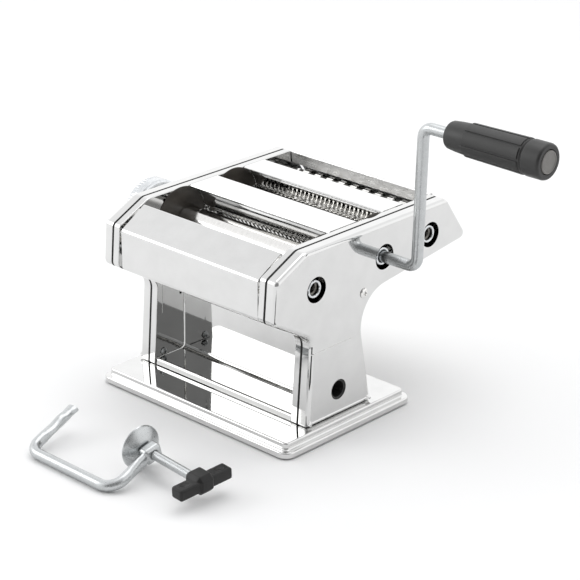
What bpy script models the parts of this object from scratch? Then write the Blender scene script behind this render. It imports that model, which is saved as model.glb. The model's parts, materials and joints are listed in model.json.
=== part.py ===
"""Hand-cranked pasta machine with a smooth roller pair, two cutter pairs and a table clamp.

Metres, +Z up. X runs along the rollers, towards the crank; the machine's front faces -Y.
Lengths below are measured from the middle of the base, and SET_SHIFT then centres the
whole set, with the clamp that lies in front, over the origin.
"""

import math

import bmesh
import bpy
from mathutils import Matrix, Vector

# ---- driving dimensions -------------------------------------------------------------
SET_SHIFT = Vector((-0.0592, 0.0266, 0.0))
TOUCH_GAP = 0.0003

# base tray
BASE_HALF_X = 0.1022
BASE_HALF_Y = 0.0720
BASE_CORNER = 0.009
BASE_SKIRT_Z = 0.0015
BASE_LEDGE_Z = 0.0062
BASE_TOP_Z = 0.0120
BASE_STEP = 0.0048
SHEET = 0.0012
PAD_RADIUS = 0.008
PAD_X = 0.086
PAD_Y = 0.056

# side housings
PLATE_INNER = 0.0746
PLATE_OUTER = 0.0804
COVER_INNER = 0.0812
COVER_OUTER = 0.0920
COVER_SHOULDER = 0.0035
HOUSING_FOOT_Z = BASE_TOP_Z + TOUCH_GAP
HOUSING_CORNERS = (
    # y, z, corner radius, going round from the front of the top edge
    (-0.0415, 0.1548, 0.010),
    (-0.0723, 0.1400, 0.005),
    (-0.0748, 0.1068, 0.006),
    (-0.0336, 0.0832, 0.012),
    (-0.0384, HOUSING_FOOT_Z, 0.0015),
    (0.0342, HOUSING_FOOT_Z, 0.0015),
    (0.0172, 0.1010, 0.0288),
    (0.1470, 0.1170, 0.005),
    (0.1200, 0.1548, 0.006),
)

# fittings of the side housings
RIVET_Y, RIVET_Z = 0.0228, 0.1048
RIVET_SHANK = 0.0020
RIVET_HEAD = 0.0042
BOLT_PLACES = ((-0.0286, 0.0211), (0.0170, 0.0211))
BOLT_SHANK = 0.0018
BOLT_HEAD = 0.0030
BOLT_HEAD_HEIGHT = 0.0022
BRACKET_TOP_Z = 0.0290
BRACKET_LUG = 0.0050
BRACKET_LENGTH = 0.0620
BRACKET_FOOT = 0.0040
BRACKET_Y = -0.0030
SIGHT_HOLES = ((-0.0250, 0.1490, 0.0014), (-0.0088, 0.0661, 0.0013))
CLAMP_HOLE_Y, CLAMP_HOLE_Z = -0.0034, 0.0335
CLAMP_HOLE_RADIUS = 0.0082
SLEEVE_RADIUS = 0.0100
SLEEVE_BORE = 0.0066
DRILL_REACH = 0.004

# sheet metal between the housings
SHEET_HALF = PLATE_INNER - 0.0008
FASCIA_LEFT_X = -0.0715
FASCIA_CORNERS = (
    # y, z, bend radius
    (-0.0470, 0.1490, 0),
    (-0.0488, 0.1523, 0.0010),
    (-0.0730, 0.1377, 0.0035),
    (-0.0727, 0.1062, 0.0040),
    (-0.0585, 0.0982, 0),
)
CENTER_NOSE = ((-0.0070, 0.1300), 0.0263, 9, 66)
CENTER_CORNERS = ((0.0040, 0.1544, 0), (0.0335, 0.1544, 0.0015), (0.0350, 0.1495, 0))
REAR_NOSE = ((0.0516, 0.1302), 0.0270, 13.5, 62)
REAR_CORNERS = ((0.0650, 0.1544, 0), (0.0873, 0.1544, 0.0015), (0.0888, 0.1495, 0))
GUARD_CORNERS = (
    (0.1206, 0.1442, 0),
    (0.1198, 0.1544, 0.0010),
    (0.1226, 0.1539, 0.0010),
    (0.1451, 0.1205, 0.0030),
    (0.1380, 0.1166, 0),
)
BELLY_CORNERS = (
    (-0.0040, 0.1010, 0),
    (-0.0050, 0.0172, 0.0040),
    (-0.0362, 0.0172, 0.0020),
    (-0.0370, 0.0127, 0),
)
BELLY_SHEET = 0.0008
NOSE_STEPS = 7
TIE_ROD_RADIUS = 0.0035
TIE_RODS = {"tie_rod_front": (-0.0580, 0.1130), "tie_rod_rear": (0.1340, 0.1235)}

# smooth rollers
DRIVE_Y, DRIVE_Z = -0.0301, 0.1232
ADJUST_Y, ADJUST_Z = 0.0002, 0.1240
ROLLER_RADIUS = 0.0140
ROLLER_HALF = 0.0738
JOURNAL_RADIUS = 0.0060
THICKNESS_TRAVEL = 0.0019
BUSH_RADIUS = 0.0088
SCRAPERS = {
    # y, z of each plastic bar's four corners
    "scraper_front": ((-0.0320, 0.1040), (-0.0225, 0.1040), (-0.0225, 0.1086), (-0.0320, 0.1076)),
    "scraper_rear": ((-0.0078, 0.1040), (0.0020, 0.1040), (0.0020, 0.1078), (-0.0078, 0.1088)),
}

# cutters
MID_Y, MID_Z = 0.0459, 0.1276
REAR_Y, REAR_Z = 0.0997, 0.1306
CUTTER_SPACING = 0.0212
CUTTER_RADIUS = 0.0113
CUTTER_CORE = 0.0092
CUTTER_JOURNAL = 0.0050
NARROW_PITCH = 0.0044
WIDE_PITCH = 0.0130
DISC_CLEARANCE = 0.0003
NARROW_SIDES = 8
WIDE_SIDES = 12
COMB_GAP = 0.0008
COMB_HEIGHT = 0.0032
COMB_DEPTH = 0.0070

# gears, in the left housing
GEAR_TEETH = 12
GEAR_NEAR_X = 0.0790
GEAR_FAR_X = 0.0875
SHAFT_END_X = -GEAR_FAR_X - 0.0010
SMOOTH_GEAR = (0.0162, 0.0110)
CUTTER_GEAR = (0.0119, 0.0084)

# crank
SOCKET_RADIUS = 0.0072
SOCKET_BORE = 0.0050
SOCKET_SUNK = 0.0016
COVER_HOLE_RADIUS = 0.0102
CRANK_ROD = 0.0045
CRANK_REACH_X = 0.1240
CRANK_ARM = 0.1112
CRANK_BEND = 0.0085
GRIP_NEAR_X = 0.1515
GRIP_FAR_X = 0.2385
GRIP_SIDES = 20
GRIP_BORE = CRANK_ROD + 0.0006
GRIP_CUP = 0.0091
GRIP_CUP_DEPTH = 0.0100
GRIP_CAP = 0.0088
CRANK_LEAN = 0.0020
CRANK_BEND_STEPS = 6

# thickness dial
DIAL_RADIUS = 0.0265
DIAL_FAR_X = -0.1210
DIAL_NEAR_X = -0.1065
DIAL_SHAFT = 0.0050
DIAL_POCKET = 0.0036
COLLAR_RADIUS = 0.0125
COLLAR_END = DIAL_NEAR_X + 0.0052

# table clamp, lying in front; u runs along +X, v away from its back bar
CLAMP_BACK_Y = -0.1950
CLAMP_ROD = 0.0043
CLAMP_TILT = math.radians(16.5)
CLAMP_NEAR_U = -0.0435
CLAMP_FAR_U = 0.0445
CLAMP_TIP = (-0.0510, 0.0520)
CLAMP_EYE = (0.0420, 0.0445)
CLAMP_BEND = 0.012
SCREW_LEAN = math.radians(-4.5)
SCREW_RADIUS = 0.0036
PAD_CUP = (
    # x, radius of the dished foot, from the screw's end outwards
    (-0.0060, 0.0),
    (-0.0060, 0.0074),
    (-0.0112, 0.0170),
    (-0.0126, 0.0170),
    (-0.0126, 0.0152),
    (-0.0096, 0.0088),
    (-0.0096, 0.0),
)
EYE_SIZE = (0.0095, 0.0150, 0.0130)
EYE_BEVEL = 0.0025
TIP_SIZE = (0.0100, 0.0130, 0.0060)
TIP_BEVEL = 0.0018
EYE_DRILL = 0.012
SCREW_NEAR_X = -0.0057
SCREW_FAR_X = 0.0560
WING_X = 0.0580
WING_SIZE = (0.0130, 0.0480, 0.0112)
WING_BEVEL = 0.0026
WING_TURN = math.radians(-13.0)
HUB_SIZE = (0.0190, 0.0168, 0.0152)
HUB_BEVEL = 0.0036
HUB_X = 0.0555
WING_BORE = (0.0400, 0.0565)

STEPS = 24
BORE_SIDES = 18
ARC_STEPS = 4

COLOURS = {
    # base colour, metallic, roughness
    "polished_steel": ((0.80, 0.80, 0.80), 1.0, 0.08),
    "turned_steel": ((0.72, 0.72, 0.71), 1.0, 0.22),
    "chromed_steel": ((0.78, 0.79, 0.80), 1.0, 0.12),
    "zinc_steel": ((0.62, 0.63, 0.64), 1.0, 0.32),
    "gear_steel": ((0.42, 0.42, 0.41), 1.0, 0.40),
    "black_plastic": ((0.012, 0.012, 0.013), 0.0, 0.42),
    "grey_plastic": ((0.30, 0.30, 0.31), 0.0, 0.45),
    "white_plastic": ((0.72, 0.71, 0.68), 0.0, 0.45),
    "black_rubber": ((0.02, 0.02, 0.02), 0.0, 0.80),
}


# ---- scene helpers ------------------------------------------------------------------
def clear_scene():
    for obj in list(bpy.data.objects):
        bpy.data.objects.remove(obj, do_unlink=True)


def collection(name, helper=False):
    made = bpy.data.collections.new(name)
    bpy.context.scene.collection.children.link(made)
    made.hide_render = helper
    return made


def material(finish, part):
    """One part's own copy of a finish."""
    colour, metallic, roughness = COLOURS[finish]
    made = bpy.data.materials.new(f"{part}_{finish}")
    made.use_nodes = True
    shader = made.node_tree.nodes["Principled BSDF"]
    shader.inputs["Base Color"].default_value = (*colour, 1.0)
    shader.inputs["Metallic"].default_value = metallic
    shader.inputs["Roughness"].default_value = roughness
    return made


def empty(name, parent, location=(0.0, 0.0, 0.0), rotation=(0.0, 0.0, 0.0)):
    made = bpy.data.objects.new(name, None)
    SET.objects.link(made)
    made.parent = parent
    made.location = location
    made.rotation_euler = rotation
    return made


def node(name, data, finish, parent):
    """A named solid of the set, with a material of its own."""
    made = bpy.data.objects.new(name, data)
    SET.objects.link(made)
    made.parent = parent
    data.materials.append(material(finish, name))
    return made


def helper(name, data, parent):
    """A cutter or a joined-on shape: seen as wire, and left out of the object."""
    made = bpy.data.objects.new(name, data)
    CUTTERS.objects.link(made)
    made.parent = parent
    made.hide_render = True
    made.display_type = "WIRE"
    return made


def boolean(target, tool, operation="DIFFERENCE"):
    modifier = target.modifiers.new(tool.name, "BOOLEAN")
    modifier.operation = operation
    modifier.solver = "EXACT"
    modifier.object = tool
    return modifier


def round_edges(obj, width, segments=2, degrees=60.0):
    modifier = obj.modifiers.new("rounded edges", "BEVEL")
    modifier.width = width
    modifier.segments = segments
    modifier.limit_method = "ANGLE"
    modifier.angle_limit = math.radians(degrees)


def thicken(obj, thickness, offset):
    modifier = obj.modifiers.new("sheet thickness", "SOLIDIFY")
    modifier.thickness = thickness
    modifier.offset = offset
    modifier.use_even_offset = True


def smooth(mesh):
    for polygon in mesh.polygons:
        polygon.use_smooth = True


# ---- outlines -----------------------------------------------------------------------
def arc(centre, radius, start, end, steps=ARC_STEPS):
    """Points on a circle from one angle in degrees to another."""
    found = []
    for i in range(steps + 1):
        angle = math.radians(start + (end - start) * i / steps)
        found.append((centre[0] + radius * math.cos(angle), centre[1] + radius * math.sin(angle)))
    return found


def fillet(before, corner, after, radius, steps=ARC_STEPS):
    """The corner replaced by an arc that meets both of its sides."""
    here = Vector(corner)
    back = (Vector(before) - here).normalized()
    on = (Vector(after) - here).normalized()
    half = back.angle(on) / 2
    reach = radius / math.tan(half)
    centre = here + (back + on).normalized() * (radius / math.sin(half))
    first = here + back * reach - centre
    last = here + on * reach - centre
    turn = math.atan2(first.x * last.y - first.y * last.x, first.dot(last))
    found = []
    for i in range(steps + 1):
        found.append(tuple(centre + Matrix.Rotation(turn * i / steps, 2) @ first))
    return found


def rounded(corners, closed=True):
    """An outline from (a, b, radius) corners; a radius of 0 keeps the corner sharp."""
    found = []
    count = len(corners)
    for i, (a, b, radius) in enumerate(corners):
        end = not closed and i in (0, count - 1)
        if end or radius == 0:
            found.append((a, b))
            continue
        before = corners[i - 1][:2]
        after = corners[(i + 1) % count][:2]
        found.extend(fillet(before, (a, b), after, radius))
    return found


def circle(centre, radius, steps=STEPS):
    return arc(centre, radius, 0, 360 - 360 / steps, steps - 1)


# ---- shape makers -------------------------------------------------------------------
SIDEWAYS = Matrix(((0, 0, 1), (1, 0, 0), (0, 1, 0))).to_euler()


def flat_curve(name, splines, half, closed=True):
    curve = bpy.data.curves.new(name, "CURVE")
    curve.dimensions = "2D"
    curve.fill_mode = "BOTH" if closed else "NONE"
    curve.extrude = half
    for points in splines:
        spline = curve.splines.new("POLY")
        spline.points.add(len(points) - 1)
        for point, (a, b) in zip(spline.points, points):
            point.co = (a, b, 0.0, 1.0)
        spline.use_cyclic_u = closed
    return curve


def slab(name, splines, low_x, high_x, finish, parent):
    """An outline in Y and Z, with any holes, standing from low_x to high_x."""
    curve = flat_curve(name, splines, (high_x - low_x) / 2)
    made = node(name, curve, finish, parent)
    made.rotation_euler = SIDEWAYS
    made.location.x = (low_x + high_x) / 2
    return made


def bent_sheet(name, path, low_x, high_x, finish, parent, thickness=SHEET):
    """Sheet metal bent along an open path in Y and Z, standing from low_x to high_x."""
    curve = flat_curve(name, [path], (high_x - low_x) / 2, closed=False)
    made = node(name, curve, finish, parent)
    made.rotation_euler = SIDEWAYS
    made.location.x = (low_x + high_x) / 2
    thicken(made, thickness, 0.0)
    return made


def pan(name, outline, open_x, face_x, shoulder, finish, parent):
    """A pressed shell in the outline's shape: a face at face_x and a wall back to open_x."""
    mesh = bpy.data.meshes.new(name)
    work = bmesh.new()
    corners = [work.verts.new((open_x, y, z)) for y, z in outline]
    floor = work.faces.new(corners)
    raised = bmesh.ops.extrude_face_region(work, geom=[floor], use_keep_orig=True)
    moved = [part for part in raised["geom"] if isinstance(part, bmesh.types.BMVert)]
    bmesh.ops.translate(work, vec=(face_x - open_x, 0.0, 0.0), verts=moved)
    bmesh.ops.delete(work, geom=[floor], context="FACES_ONLY")
    bmesh.ops.recalc_face_normals(work, faces=work.faces)
    face = max(work.faces, key=lambda one: len(one.verts))
    if face.normal.x * (face_x - open_x) < 0:
        bmesh.ops.reverse_faces(work, faces=work.faces)
    work.to_mesh(mesh)
    work.free()
    made = node(name, mesh, finish, parent)
    if shoulder:
        round_edges(made, shoulder, 2, 80.0)
    thicken(made, SHEET, -1.0)
    return made


def turned(name, profile, finish, parent, steps=STEPS, x=0.0, closed=False):
    """A lathe piece about X. The profile is (x, radius) from its +X end to its -X end."""
    mesh = bpy.data.meshes.new(name)
    work = bmesh.new()
    points = [work.verts.new((radius, 0.0, along)) for along, radius in profile]
    for first, second in zip(points, points[1:]):
        work.edges.new((first, second))
    if closed:
        work.edges.new((points[-1], points[0]))
    work.to_mesh(mesh)
    work.free()
    made = node(name, mesh, finish, parent)
    made.rotation_euler = (0.0, math.pi / 2, 0.0)
    made.location.x = x
    screw = made.modifiers.new("turned", "SCREW")
    screw.steps = steps
    screw.render_steps = steps
    screw.use_merge_vertices = True
    screw.merge_threshold = 0.00005
    screw.use_smooth_shade = steps > GRIP_SIDES
    return made


def rod_profile(stations):
    """A solid lathe profile that closes onto the axis at both ends."""
    return [(stations[0][0], 0.0), *stations, (stations[-1][0], 0.0)]


def tube_profile(low_x, high_x, outer, bore):
    return [(high_x, outer), (low_x, outer), (low_x, bore), (high_x, bore)]


def bores(name, holes, low_x, high_x, parent):
    """One cutter of several drills along X, each (y, z, radius)."""
    mesh = bpy.data.meshes.new(name)
    work = bmesh.new()
    for y, z, radius in holes:
        place = Matrix.Translation(((low_x + high_x) / 2, y, z)) @ Matrix.Rotation(math.pi / 2, 4, "Y")
        bmesh.ops.create_cone(
            work, cap_ends=True, segments=BORE_SIDES, radius1=radius, radius2=radius,
            depth=abs(high_x - low_x), matrix=place,
        )
    work.to_mesh(mesh)
    work.free()
    return helper(name, mesh, parent)


def box_mesh(name, size, centre=(0.0, 0.0, 0.0), bevel=0.0):
    mesh = bpy.data.meshes.new(name)
    work = bmesh.new()
    bmesh.ops.create_cube(work, size=1.0)
    bmesh.ops.scale(work, vec=size, verts=work.verts)
    if bevel:
        bmesh.ops.bevel(
            work, geom=work.edges, offset=bevel, segments=2, profile=0.5, affect="EDGES"
        )
    bmesh.ops.translate(work, vec=centre, verts=work.verts)
    work.to_mesh(mesh)
    work.free()
    return mesh


def wire(name, points, radius, finish, parent):
    """A round bar along the points, as a mesh so that a Boolean can use it."""
    curve = bpy.data.curves.new(name + "_path", "CURVE")
    curve.dimensions = "3D"
    curve.bevel_depth = radius
    curve.bevel_resolution = 3
    curve.use_fill_caps = True
    spline = curve.splines.new("POLY")
    spline.points.add(len(points) - 1)
    for point, place in zip(spline.points, points):
        point.co = (*place, 1.0)
    guide = bpy.data.objects.new(name + "_path", curve)
    CUTTERS.objects.link(guide)
    bpy.context.view_layer.update()
    graph = bpy.context.evaluated_depsgraph_get()
    mesh = bpy.data.meshes.new_from_object(guide.evaluated_get(graph))
    bpy.data.objects.remove(guide, do_unlink=True)
    work = bmesh.new()
    work.from_mesh(mesh)
    bmesh.ops.remove_doubles(work, verts=work.verts, dist=0.00005)
    bmesh.ops.recalc_face_normals(work, faces=work.faces)
    work.to_mesh(mesh)
    work.free()
    mesh.name = name
    smooth(mesh)
    return node(name, mesh, finish, parent)


# ---- base ---------------------------------------------------------------------------
def base_tray(machine):
    """A stepped pressed tray, open below: a skirt, a ledge and a raised top."""
    corners = []
    for x, y in ((1, -1), (1, 1), (-1, 1), (-1, -1)):
        corners.append((x * BASE_HALF_X, y * BASE_HALF_Y, BASE_CORNER))
    mesh = bpy.data.meshes.new("base_tray")
    work = bmesh.new()
    rim = work.faces.new([work.verts.new((x, y, BASE_SKIRT_Z)) for x, y in rounded(corners)])
    top = lift(work, rim, BASE_LEDGE_Z - BASE_SKIRT_Z)
    bmesh.ops.inset_region(work, faces=[top], thickness=BASE_STEP, use_even_offset=True)
    lift(work, top, BASE_TOP_Z - BASE_LEDGE_Z)
    bmesh.ops.recalc_face_normals(work, faces=work.faces)
    work.to_mesh(mesh)
    work.free()
    made = node("base_tray", mesh, "polished_steel", machine)
    round_edges(made, 0.0014, 2, 50.0)
    thicken(made, SHEET, -1.0)


def lift(work, face, height):
    """Extrudes a face straight up, and returns the face that it became."""
    raised = bmesh.ops.extrude_face_region(work, geom=[face], use_keep_orig=True)
    moved = [part for part in raised["geom"] if isinstance(part, bmesh.types.BMVert)]
    bmesh.ops.translate(work, vec=(0.0, 0.0, height), verts=moved)
    bmesh.ops.delete(work, geom=[face], context="FACES_ONLY")
    return [part for part in raised["geom"] if isinstance(part, bmesh.types.BMFace)][0]


def foot_pads(machine):
    """Four rubber pads inside the tray's corners, which hold it off the table."""
    height = BASE_TOP_Z - SHEET - TOUCH_GAP
    for side, x in (("left", -PAD_X), ("right", PAD_X)):
        for end, y in (("front", -PAD_Y), ("rear", PAD_Y)):
            profile = rod_profile([(height, PAD_RADIUS), (0.001, PAD_RADIUS), (0.0, PAD_RADIUS - 0.001)])
            pad = turned(f"foot_pad_{side}_{end}", profile, "black_rubber", machine, 16)
            pad.rotation_euler = (0.0, 0.0, 0.0)
            pad.location = (x, y, 0.0)


# ---- side housings ------------------------------------------------------------------
def journal_holes(clearance):
    """Where the shafts that keep their place pass through a side plate."""
    return [
        (DRIVE_Y, DRIVE_Z, JOURNAL_RADIUS + clearance),
        (MID_Y, MID_Z, CUTTER_JOURNAL + clearance),
        (MID_Y + CUTTER_SPACING, MID_Z, CUTTER_JOURNAL + clearance),
        (REAR_Y, REAR_Z, CUTTER_JOURNAL + clearance),
        (REAR_Y + CUTTER_SPACING, REAR_Z, CUTTER_JOURNAL + clearance),
    ]


def side_plates(machine):
    """The inner plates: a web that the rollers run in, with a flange turned outwards."""
    outline = rounded(HOUSING_CORNERS)
    for side, sign in (("left", -1.0), ("right", 1.0)):
        plate = pan(
            f"side_plate_{side}", outline, sign * PLATE_OUTER, sign * PLATE_INNER,
            0.0, "polished_steel", machine,
        )
        low, high = sign * PLATE_INNER - DRILL_REACH, sign * PLATE_INNER + DRILL_REACH
        round_holes = [*journal_holes(TOUCH_GAP), *SIGHT_HOLES]
        for y, z in BOLT_PLACES:
            round_holes.append((y, z, BOLT_SHANK + TOUCH_GAP))
        boolean(plate, bores(f"plate_{side}_bores", round_holes, low, high, machine))
        slot_half = BUSH_RADIUS + TOUCH_GAP
        slot = arc((ADJUST_Y, ADJUST_Z), slot_half, -90, 90, 10)
        slot += arc((ADJUST_Y - THICKNESS_TRAVEL, ADJUST_Z), slot_half, 90, 270, 10)
        tool = as_tool(f"plate_{side}_slot", slot, low, high, machine)
        boolean(plate, tool)


def as_tool(name, outline, low_x, high_x, parent):
    """A closed prism along X, for a Boolean."""
    mesh = bpy.data.meshes.new(name)
    work = bmesh.new()
    face = work.faces.new([work.verts.new((low_x, y, z)) for y, z in outline])
    raised = bmesh.ops.extrude_face_region(work, geom=[face], use_keep_orig=True)
    moved = [part for part in raised["geom"] if isinstance(part, bmesh.types.BMVert)]
    bmesh.ops.translate(work, vec=(high_x - low_x, 0.0, 0.0), verts=moved)
    bmesh.ops.recalc_face_normals(work, faces=work.faces)
    work.to_mesh(mesh)
    work.free()
    return helper(name, mesh, parent)


def side_covers(machine):
    """The outer covers: deep pressed shells with a rounded shoulder round the face."""
    outline = rounded(HOUSING_CORNERS)
    holes = {
        "right": [
            (DRIVE_Y, DRIVE_Z, COVER_HOLE_RADIUS),
            (MID_Y, MID_Z, COVER_HOLE_RADIUS),
            (REAR_Y, REAR_Z, COVER_HOLE_RADIUS),
            (CLAMP_HOLE_Y, CLAMP_HOLE_Z, CLAMP_HOLE_RADIUS),
            (RIVET_Y, RIVET_Z, RIVET_SHANK + TOUCH_GAP),
        ],
        "left": [
            (ADJUST_Y, ADJUST_Z, DIAL_SHAFT + TOUCH_GAP),
            (RIVET_Y, RIVET_Z, RIVET_SHANK + TOUCH_GAP),
        ],
    }
    for side, sign in (("left", -1.0), ("right", 1.0)):
        cover = pan(
            f"side_cover_{side}", outline, sign * COVER_INNER, sign * COVER_OUTER,
            COVER_SHOULDER, "polished_steel", machine,
        )
        low, high = sign * COVER_OUTER - DRILL_REACH, sign * COVER_OUTER + DRILL_REACH
        boolean(cover, bores(f"cover_{side}_bores", holes[side], low, high, machine))


def cover_rivets(machine):
    """The screw in each cover's middle: a low domed head, and a post to the side plate."""
    for side, sign in (("left", -1.0), ("right", 1.0)):
        face = COVER_OUTER + TOUCH_GAP
        stations = [
            (face + RIVET_HEAD * 0.38, RIVET_HEAD * 0.55),
            (face + RIVET_HEAD * 0.24, RIVET_HEAD * 0.88),
            (face, RIVET_HEAD),
            (face, RIVET_SHANK),
            (PLATE_INNER + SHEET + TOUCH_GAP, RIVET_SHANK),
        ]
        if sign < 0:
            stations = [(-x, radius) for x, radius in reversed(stations)]
        rivet = turned(f"cover_rivet_{side}", rod_profile(stations), "turned_steel", machine, 14)
        rivet.location = (0.0, RIVET_Y, RIVET_Z)


def leg_brackets(machine):
    """An angle inside each leg joins the side plate to the base, held by two bolts."""
    for side, sign in (("left", -1.0), ("right", 1.0)):
        near = PLATE_INNER + SHEET + TOUCH_GAP
        far = COVER_OUTER - SHEET - 0.0020
        lug = near + BRACKET_LUG
        size = (far - near, BRACKET_LENGTH, BRACKET_FOOT)
        low_z = HOUSING_FOOT_Z + SHEET + TOUCH_GAP
        centre = (sign * (near + far) / 2, BRACKET_Y, low_z + size[2] / 2)
        bracket = node(
            f"leg_bracket_{side}", box_mesh(f"leg_bracket_{side}", size, centre), "zinc_steel", machine
        )
        wall_size = (lug - near, size[1], BRACKET_TOP_Z - low_z)
        wall_centre = (sign * (near + lug) / 2, centre[1], low_z + wall_size[2] / 2)
        wall = helper(
            f"leg_bracket_{side}_wall", box_mesh(f"bracket_{side}_wall", wall_size, wall_centre), machine
        )
        boolean(bracket, wall, "UNION")
        holes = [(y, z, BOLT_SHANK + TOUCH_GAP) for y, z in BOLT_PLACES]
        ends = (sign * near - 0.010, sign * near + 0.010)
        boolean(bracket, bores(f"bracket_{side}_bores", holes, *ends, machine))
        for end, (y, z) in zip(("front", "rear"), BOLT_PLACES):
            face = PLATE_INNER - TOUCH_GAP
            stations = [
                (lug - 0.0005, BOLT_SHANK),
                (face, BOLT_SHANK),
                (face, BOLT_HEAD),
                (face - BOLT_HEAD_HEIGHT * 0.7, BOLT_HEAD),
                (face - BOLT_HEAD_HEIGHT, BOLT_HEAD * 0.7),
            ]
            if sign < 0:
                stations = [(-x, radius) for x, radius in reversed(stations)]
            bolt = turned(f"leg_bolt_{side}_{end}", rod_profile(stations), "zinc_steel", machine, 12)
            bolt.location = (0.0, y, z)


def clamp_sleeve(machine):
    """The socket behind the hole in the right leg, which takes the clamp's tip."""
    near = PLATE_INNER + SHEET + BRACKET_LUG + 2 * TOUCH_GAP
    profile = tube_profile(near, COVER_OUTER - SHEET - TOUCH_GAP, SLEEVE_RADIUS, SLEEVE_BORE)
    sleeve = turned("clamp_sleeve", profile, "black_plastic", machine, 20, closed=True)
    sleeve.location = (0.0, CLAMP_HOLE_Y, CLAMP_HOLE_Z)


# ---- sheet metal between the housings -----------------------------------------------
def sheets(machine):
    """The fascia, the two top panels, the guard behind and the chute below."""
    center = arc(*CENTER_NOSE, NOSE_STEPS) + rounded(CENTER_CORNERS, closed=False)
    rear = arc(*REAR_NOSE, NOSE_STEPS) + rounded(REAR_CORNERS, closed=False)
    chute = rounded(BELLY_CORNERS, closed=False)
    for name, path, low_x, thickness in (
        ("fascia", rounded(FASCIA_CORNERS, closed=False), FASCIA_LEFT_X, SHEET),
        ("panel_center", center, -SHEET_HALF, SHEET),
        ("panel_rear", rear, -SHEET_HALF, SHEET),
        ("back_guard", rounded(GUARD_CORNERS, closed=False), -SHEET_HALF, SHEET),
        ("belly_plate", chute, -SHEET_HALF, BELLY_SHEET),
    ):
        bent_sheet(name, path, low_x, SHEET_HALF, "polished_steel", machine, thickness)


def tie_rods(machine):
    """Round bars between the side plates, which keep the housings apart."""
    half = PLATE_INNER - TOUCH_GAP
    profile = rod_profile([(half, TIE_ROD_RADIUS), (-half, TIE_ROD_RADIUS)])
    for name, (y, z) in TIE_RODS.items():
        rod = turned(name, profile, "zinc_steel", machine, 12)
        rod.location = (0.0, y, z)


def strippers(machine):
    """Plastic bars under the rollers, which peel the dough off."""
    half = PLATE_INNER - TOUCH_GAP
    for name, outline in SCRAPERS.items():
        slab(name, [outline], -half, half, "white_plastic", machine)
    for pair, y, z in (("mid", MID_Y, MID_Z), ("rear", REAR_Y, REAR_Z)):
        top = z - CUTTER_RADIUS - COMB_GAP
        low = top - COMB_HEIGHT
        for end, low_y in (("front", y - 0.003), ("rear", y + CUTTER_SPACING - 0.004)):
            high_y = low_y + COMB_DEPTH
            outline = [(low_y, low), (high_y, low), (high_y, top), (low_y, top)]
            slab(f"comb_{pair}_{end}", [outline], -half, half, "white_plastic", machine)


# ---- rollers, cutters and gears -----------------------------------------------------
def gear(name, sizes, teeth, turn, finish, parent, bore):
    """A coarse gear in the left housing, its teeth narrow enough to run with slack."""
    tip, root = sizes
    outline = []
    pitch = 2 * math.pi / teeth
    for i in range(teeth):
        middle = (i + turn) * pitch
        for radius, part in ((root, -0.24), (tip, -0.11), (tip, 0.11), (root, 0.24)):
            angle = middle + part * pitch
            outline.append((radius * math.cos(angle), radius * math.sin(angle)))
    hole = circle((0.0, 0.0), bore + TOUCH_GAP, 16)
    return slab(name, [outline, hole], -GEAR_FAR_X, -GEAR_NEAR_X, finish, parent)


def smooth_pair(drive, adjust):
    """The two polished rollers; the rear one moves to set the thickness."""
    stations = [
        (PLATE_OUTER, JOURNAL_RADIUS),
        (ROLLER_HALF, JOURNAL_RADIUS),
        (ROLLER_HALF, ROLLER_RADIUS),
        (-ROLLER_HALF, ROLLER_RADIUS),
        (-ROLLER_HALF, JOURNAL_RADIUS),
        (SHAFT_END_X, JOURNAL_RADIUS),
    ]
    turned("roller_drive", rod_profile(stations), "turned_steel", drive, STEPS)
    turned("roller_adjust", rod_profile(stations), "turned_steel", adjust, STEPS)
    gear("gear_drive", SMOOTH_GEAR, GEAR_TEETH, 0.0, "gear_steel", drive, JOURNAL_RADIUS)
    gear("gear_adjust", SMOOTH_GEAR, GEAR_TEETH, 0.5, "gear_steel", adjust, JOURNAL_RADIUS)


def adjust_bushes(carriage):
    """The bushes that carry the rear roller in the slots of the side plates."""
    for side, sign in (("left", -1.0), ("right", 1.0)):
        ends = sorted((sign * (ROLLER_HALF + TOUCH_GAP), sign * (GEAR_NEAR_X - 2 * TOUCH_GAP)))
        profile = tube_profile(*ends, BUSH_RADIUS, JOURNAL_RADIUS + TOUCH_GAP)
        turned(f"adjust_bush_{side}", profile, "white_plastic", carriage, STEPS, closed=True)


def cutter_stations(pitch, offset):
    """The ribbed barrel of a cutter: discs a pitch apart, moved along by offset."""
    half = ROLLER_HALF
    disc = pitch / 2 - DISC_CLEARANCE
    stations = [(PLATE_OUTER, CUTTER_JOURNAL), (half, CUTTER_JOURNAL), (half, CUTTER_CORE)]
    count = int((2 * half - disc - 0.002) / pitch)
    first = pitch * (count - 1) / 2 + offset
    for i in range(count):
        middle = first - i * pitch
        if abs(middle) + disc / 2 > half - 0.0005:
            continue
        for along, radius in ((1, CUTTER_CORE), (1, CUTTER_RADIUS), (-1, CUTTER_RADIUS), (-1, CUTTER_CORE)):
            stations.append((middle + along * disc / 2, radius))
    stations += [(-half, CUTTER_CORE), (-half, CUTTER_JOURNAL), (SHAFT_END_X, CUTTER_JOURNAL)]
    return stations


def cutter_pair(name, pitch, sides, drive, driven):
    """Two ribbed barrels whose discs run in each other's gaps, each with its gear."""
    for end, offset, turn, parent in (
        ("drive", -pitch / 4, 0.0, drive),
        ("driven", pitch / 4, 0.5, driven),
    ):
        profile = rod_profile(cutter_stations(pitch, offset))
        cutter = turned(f"cutter_{name}_{end}", profile, "turned_steel", parent, sides)
        cutter.modifiers["turned"].use_smooth_shade = True
        label = f"gear_{name}_{end}"
        gear(label, CUTTER_GEAR, GEAR_TEETH, turn, "gear_steel", parent, CUTTER_JOURNAL)


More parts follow.
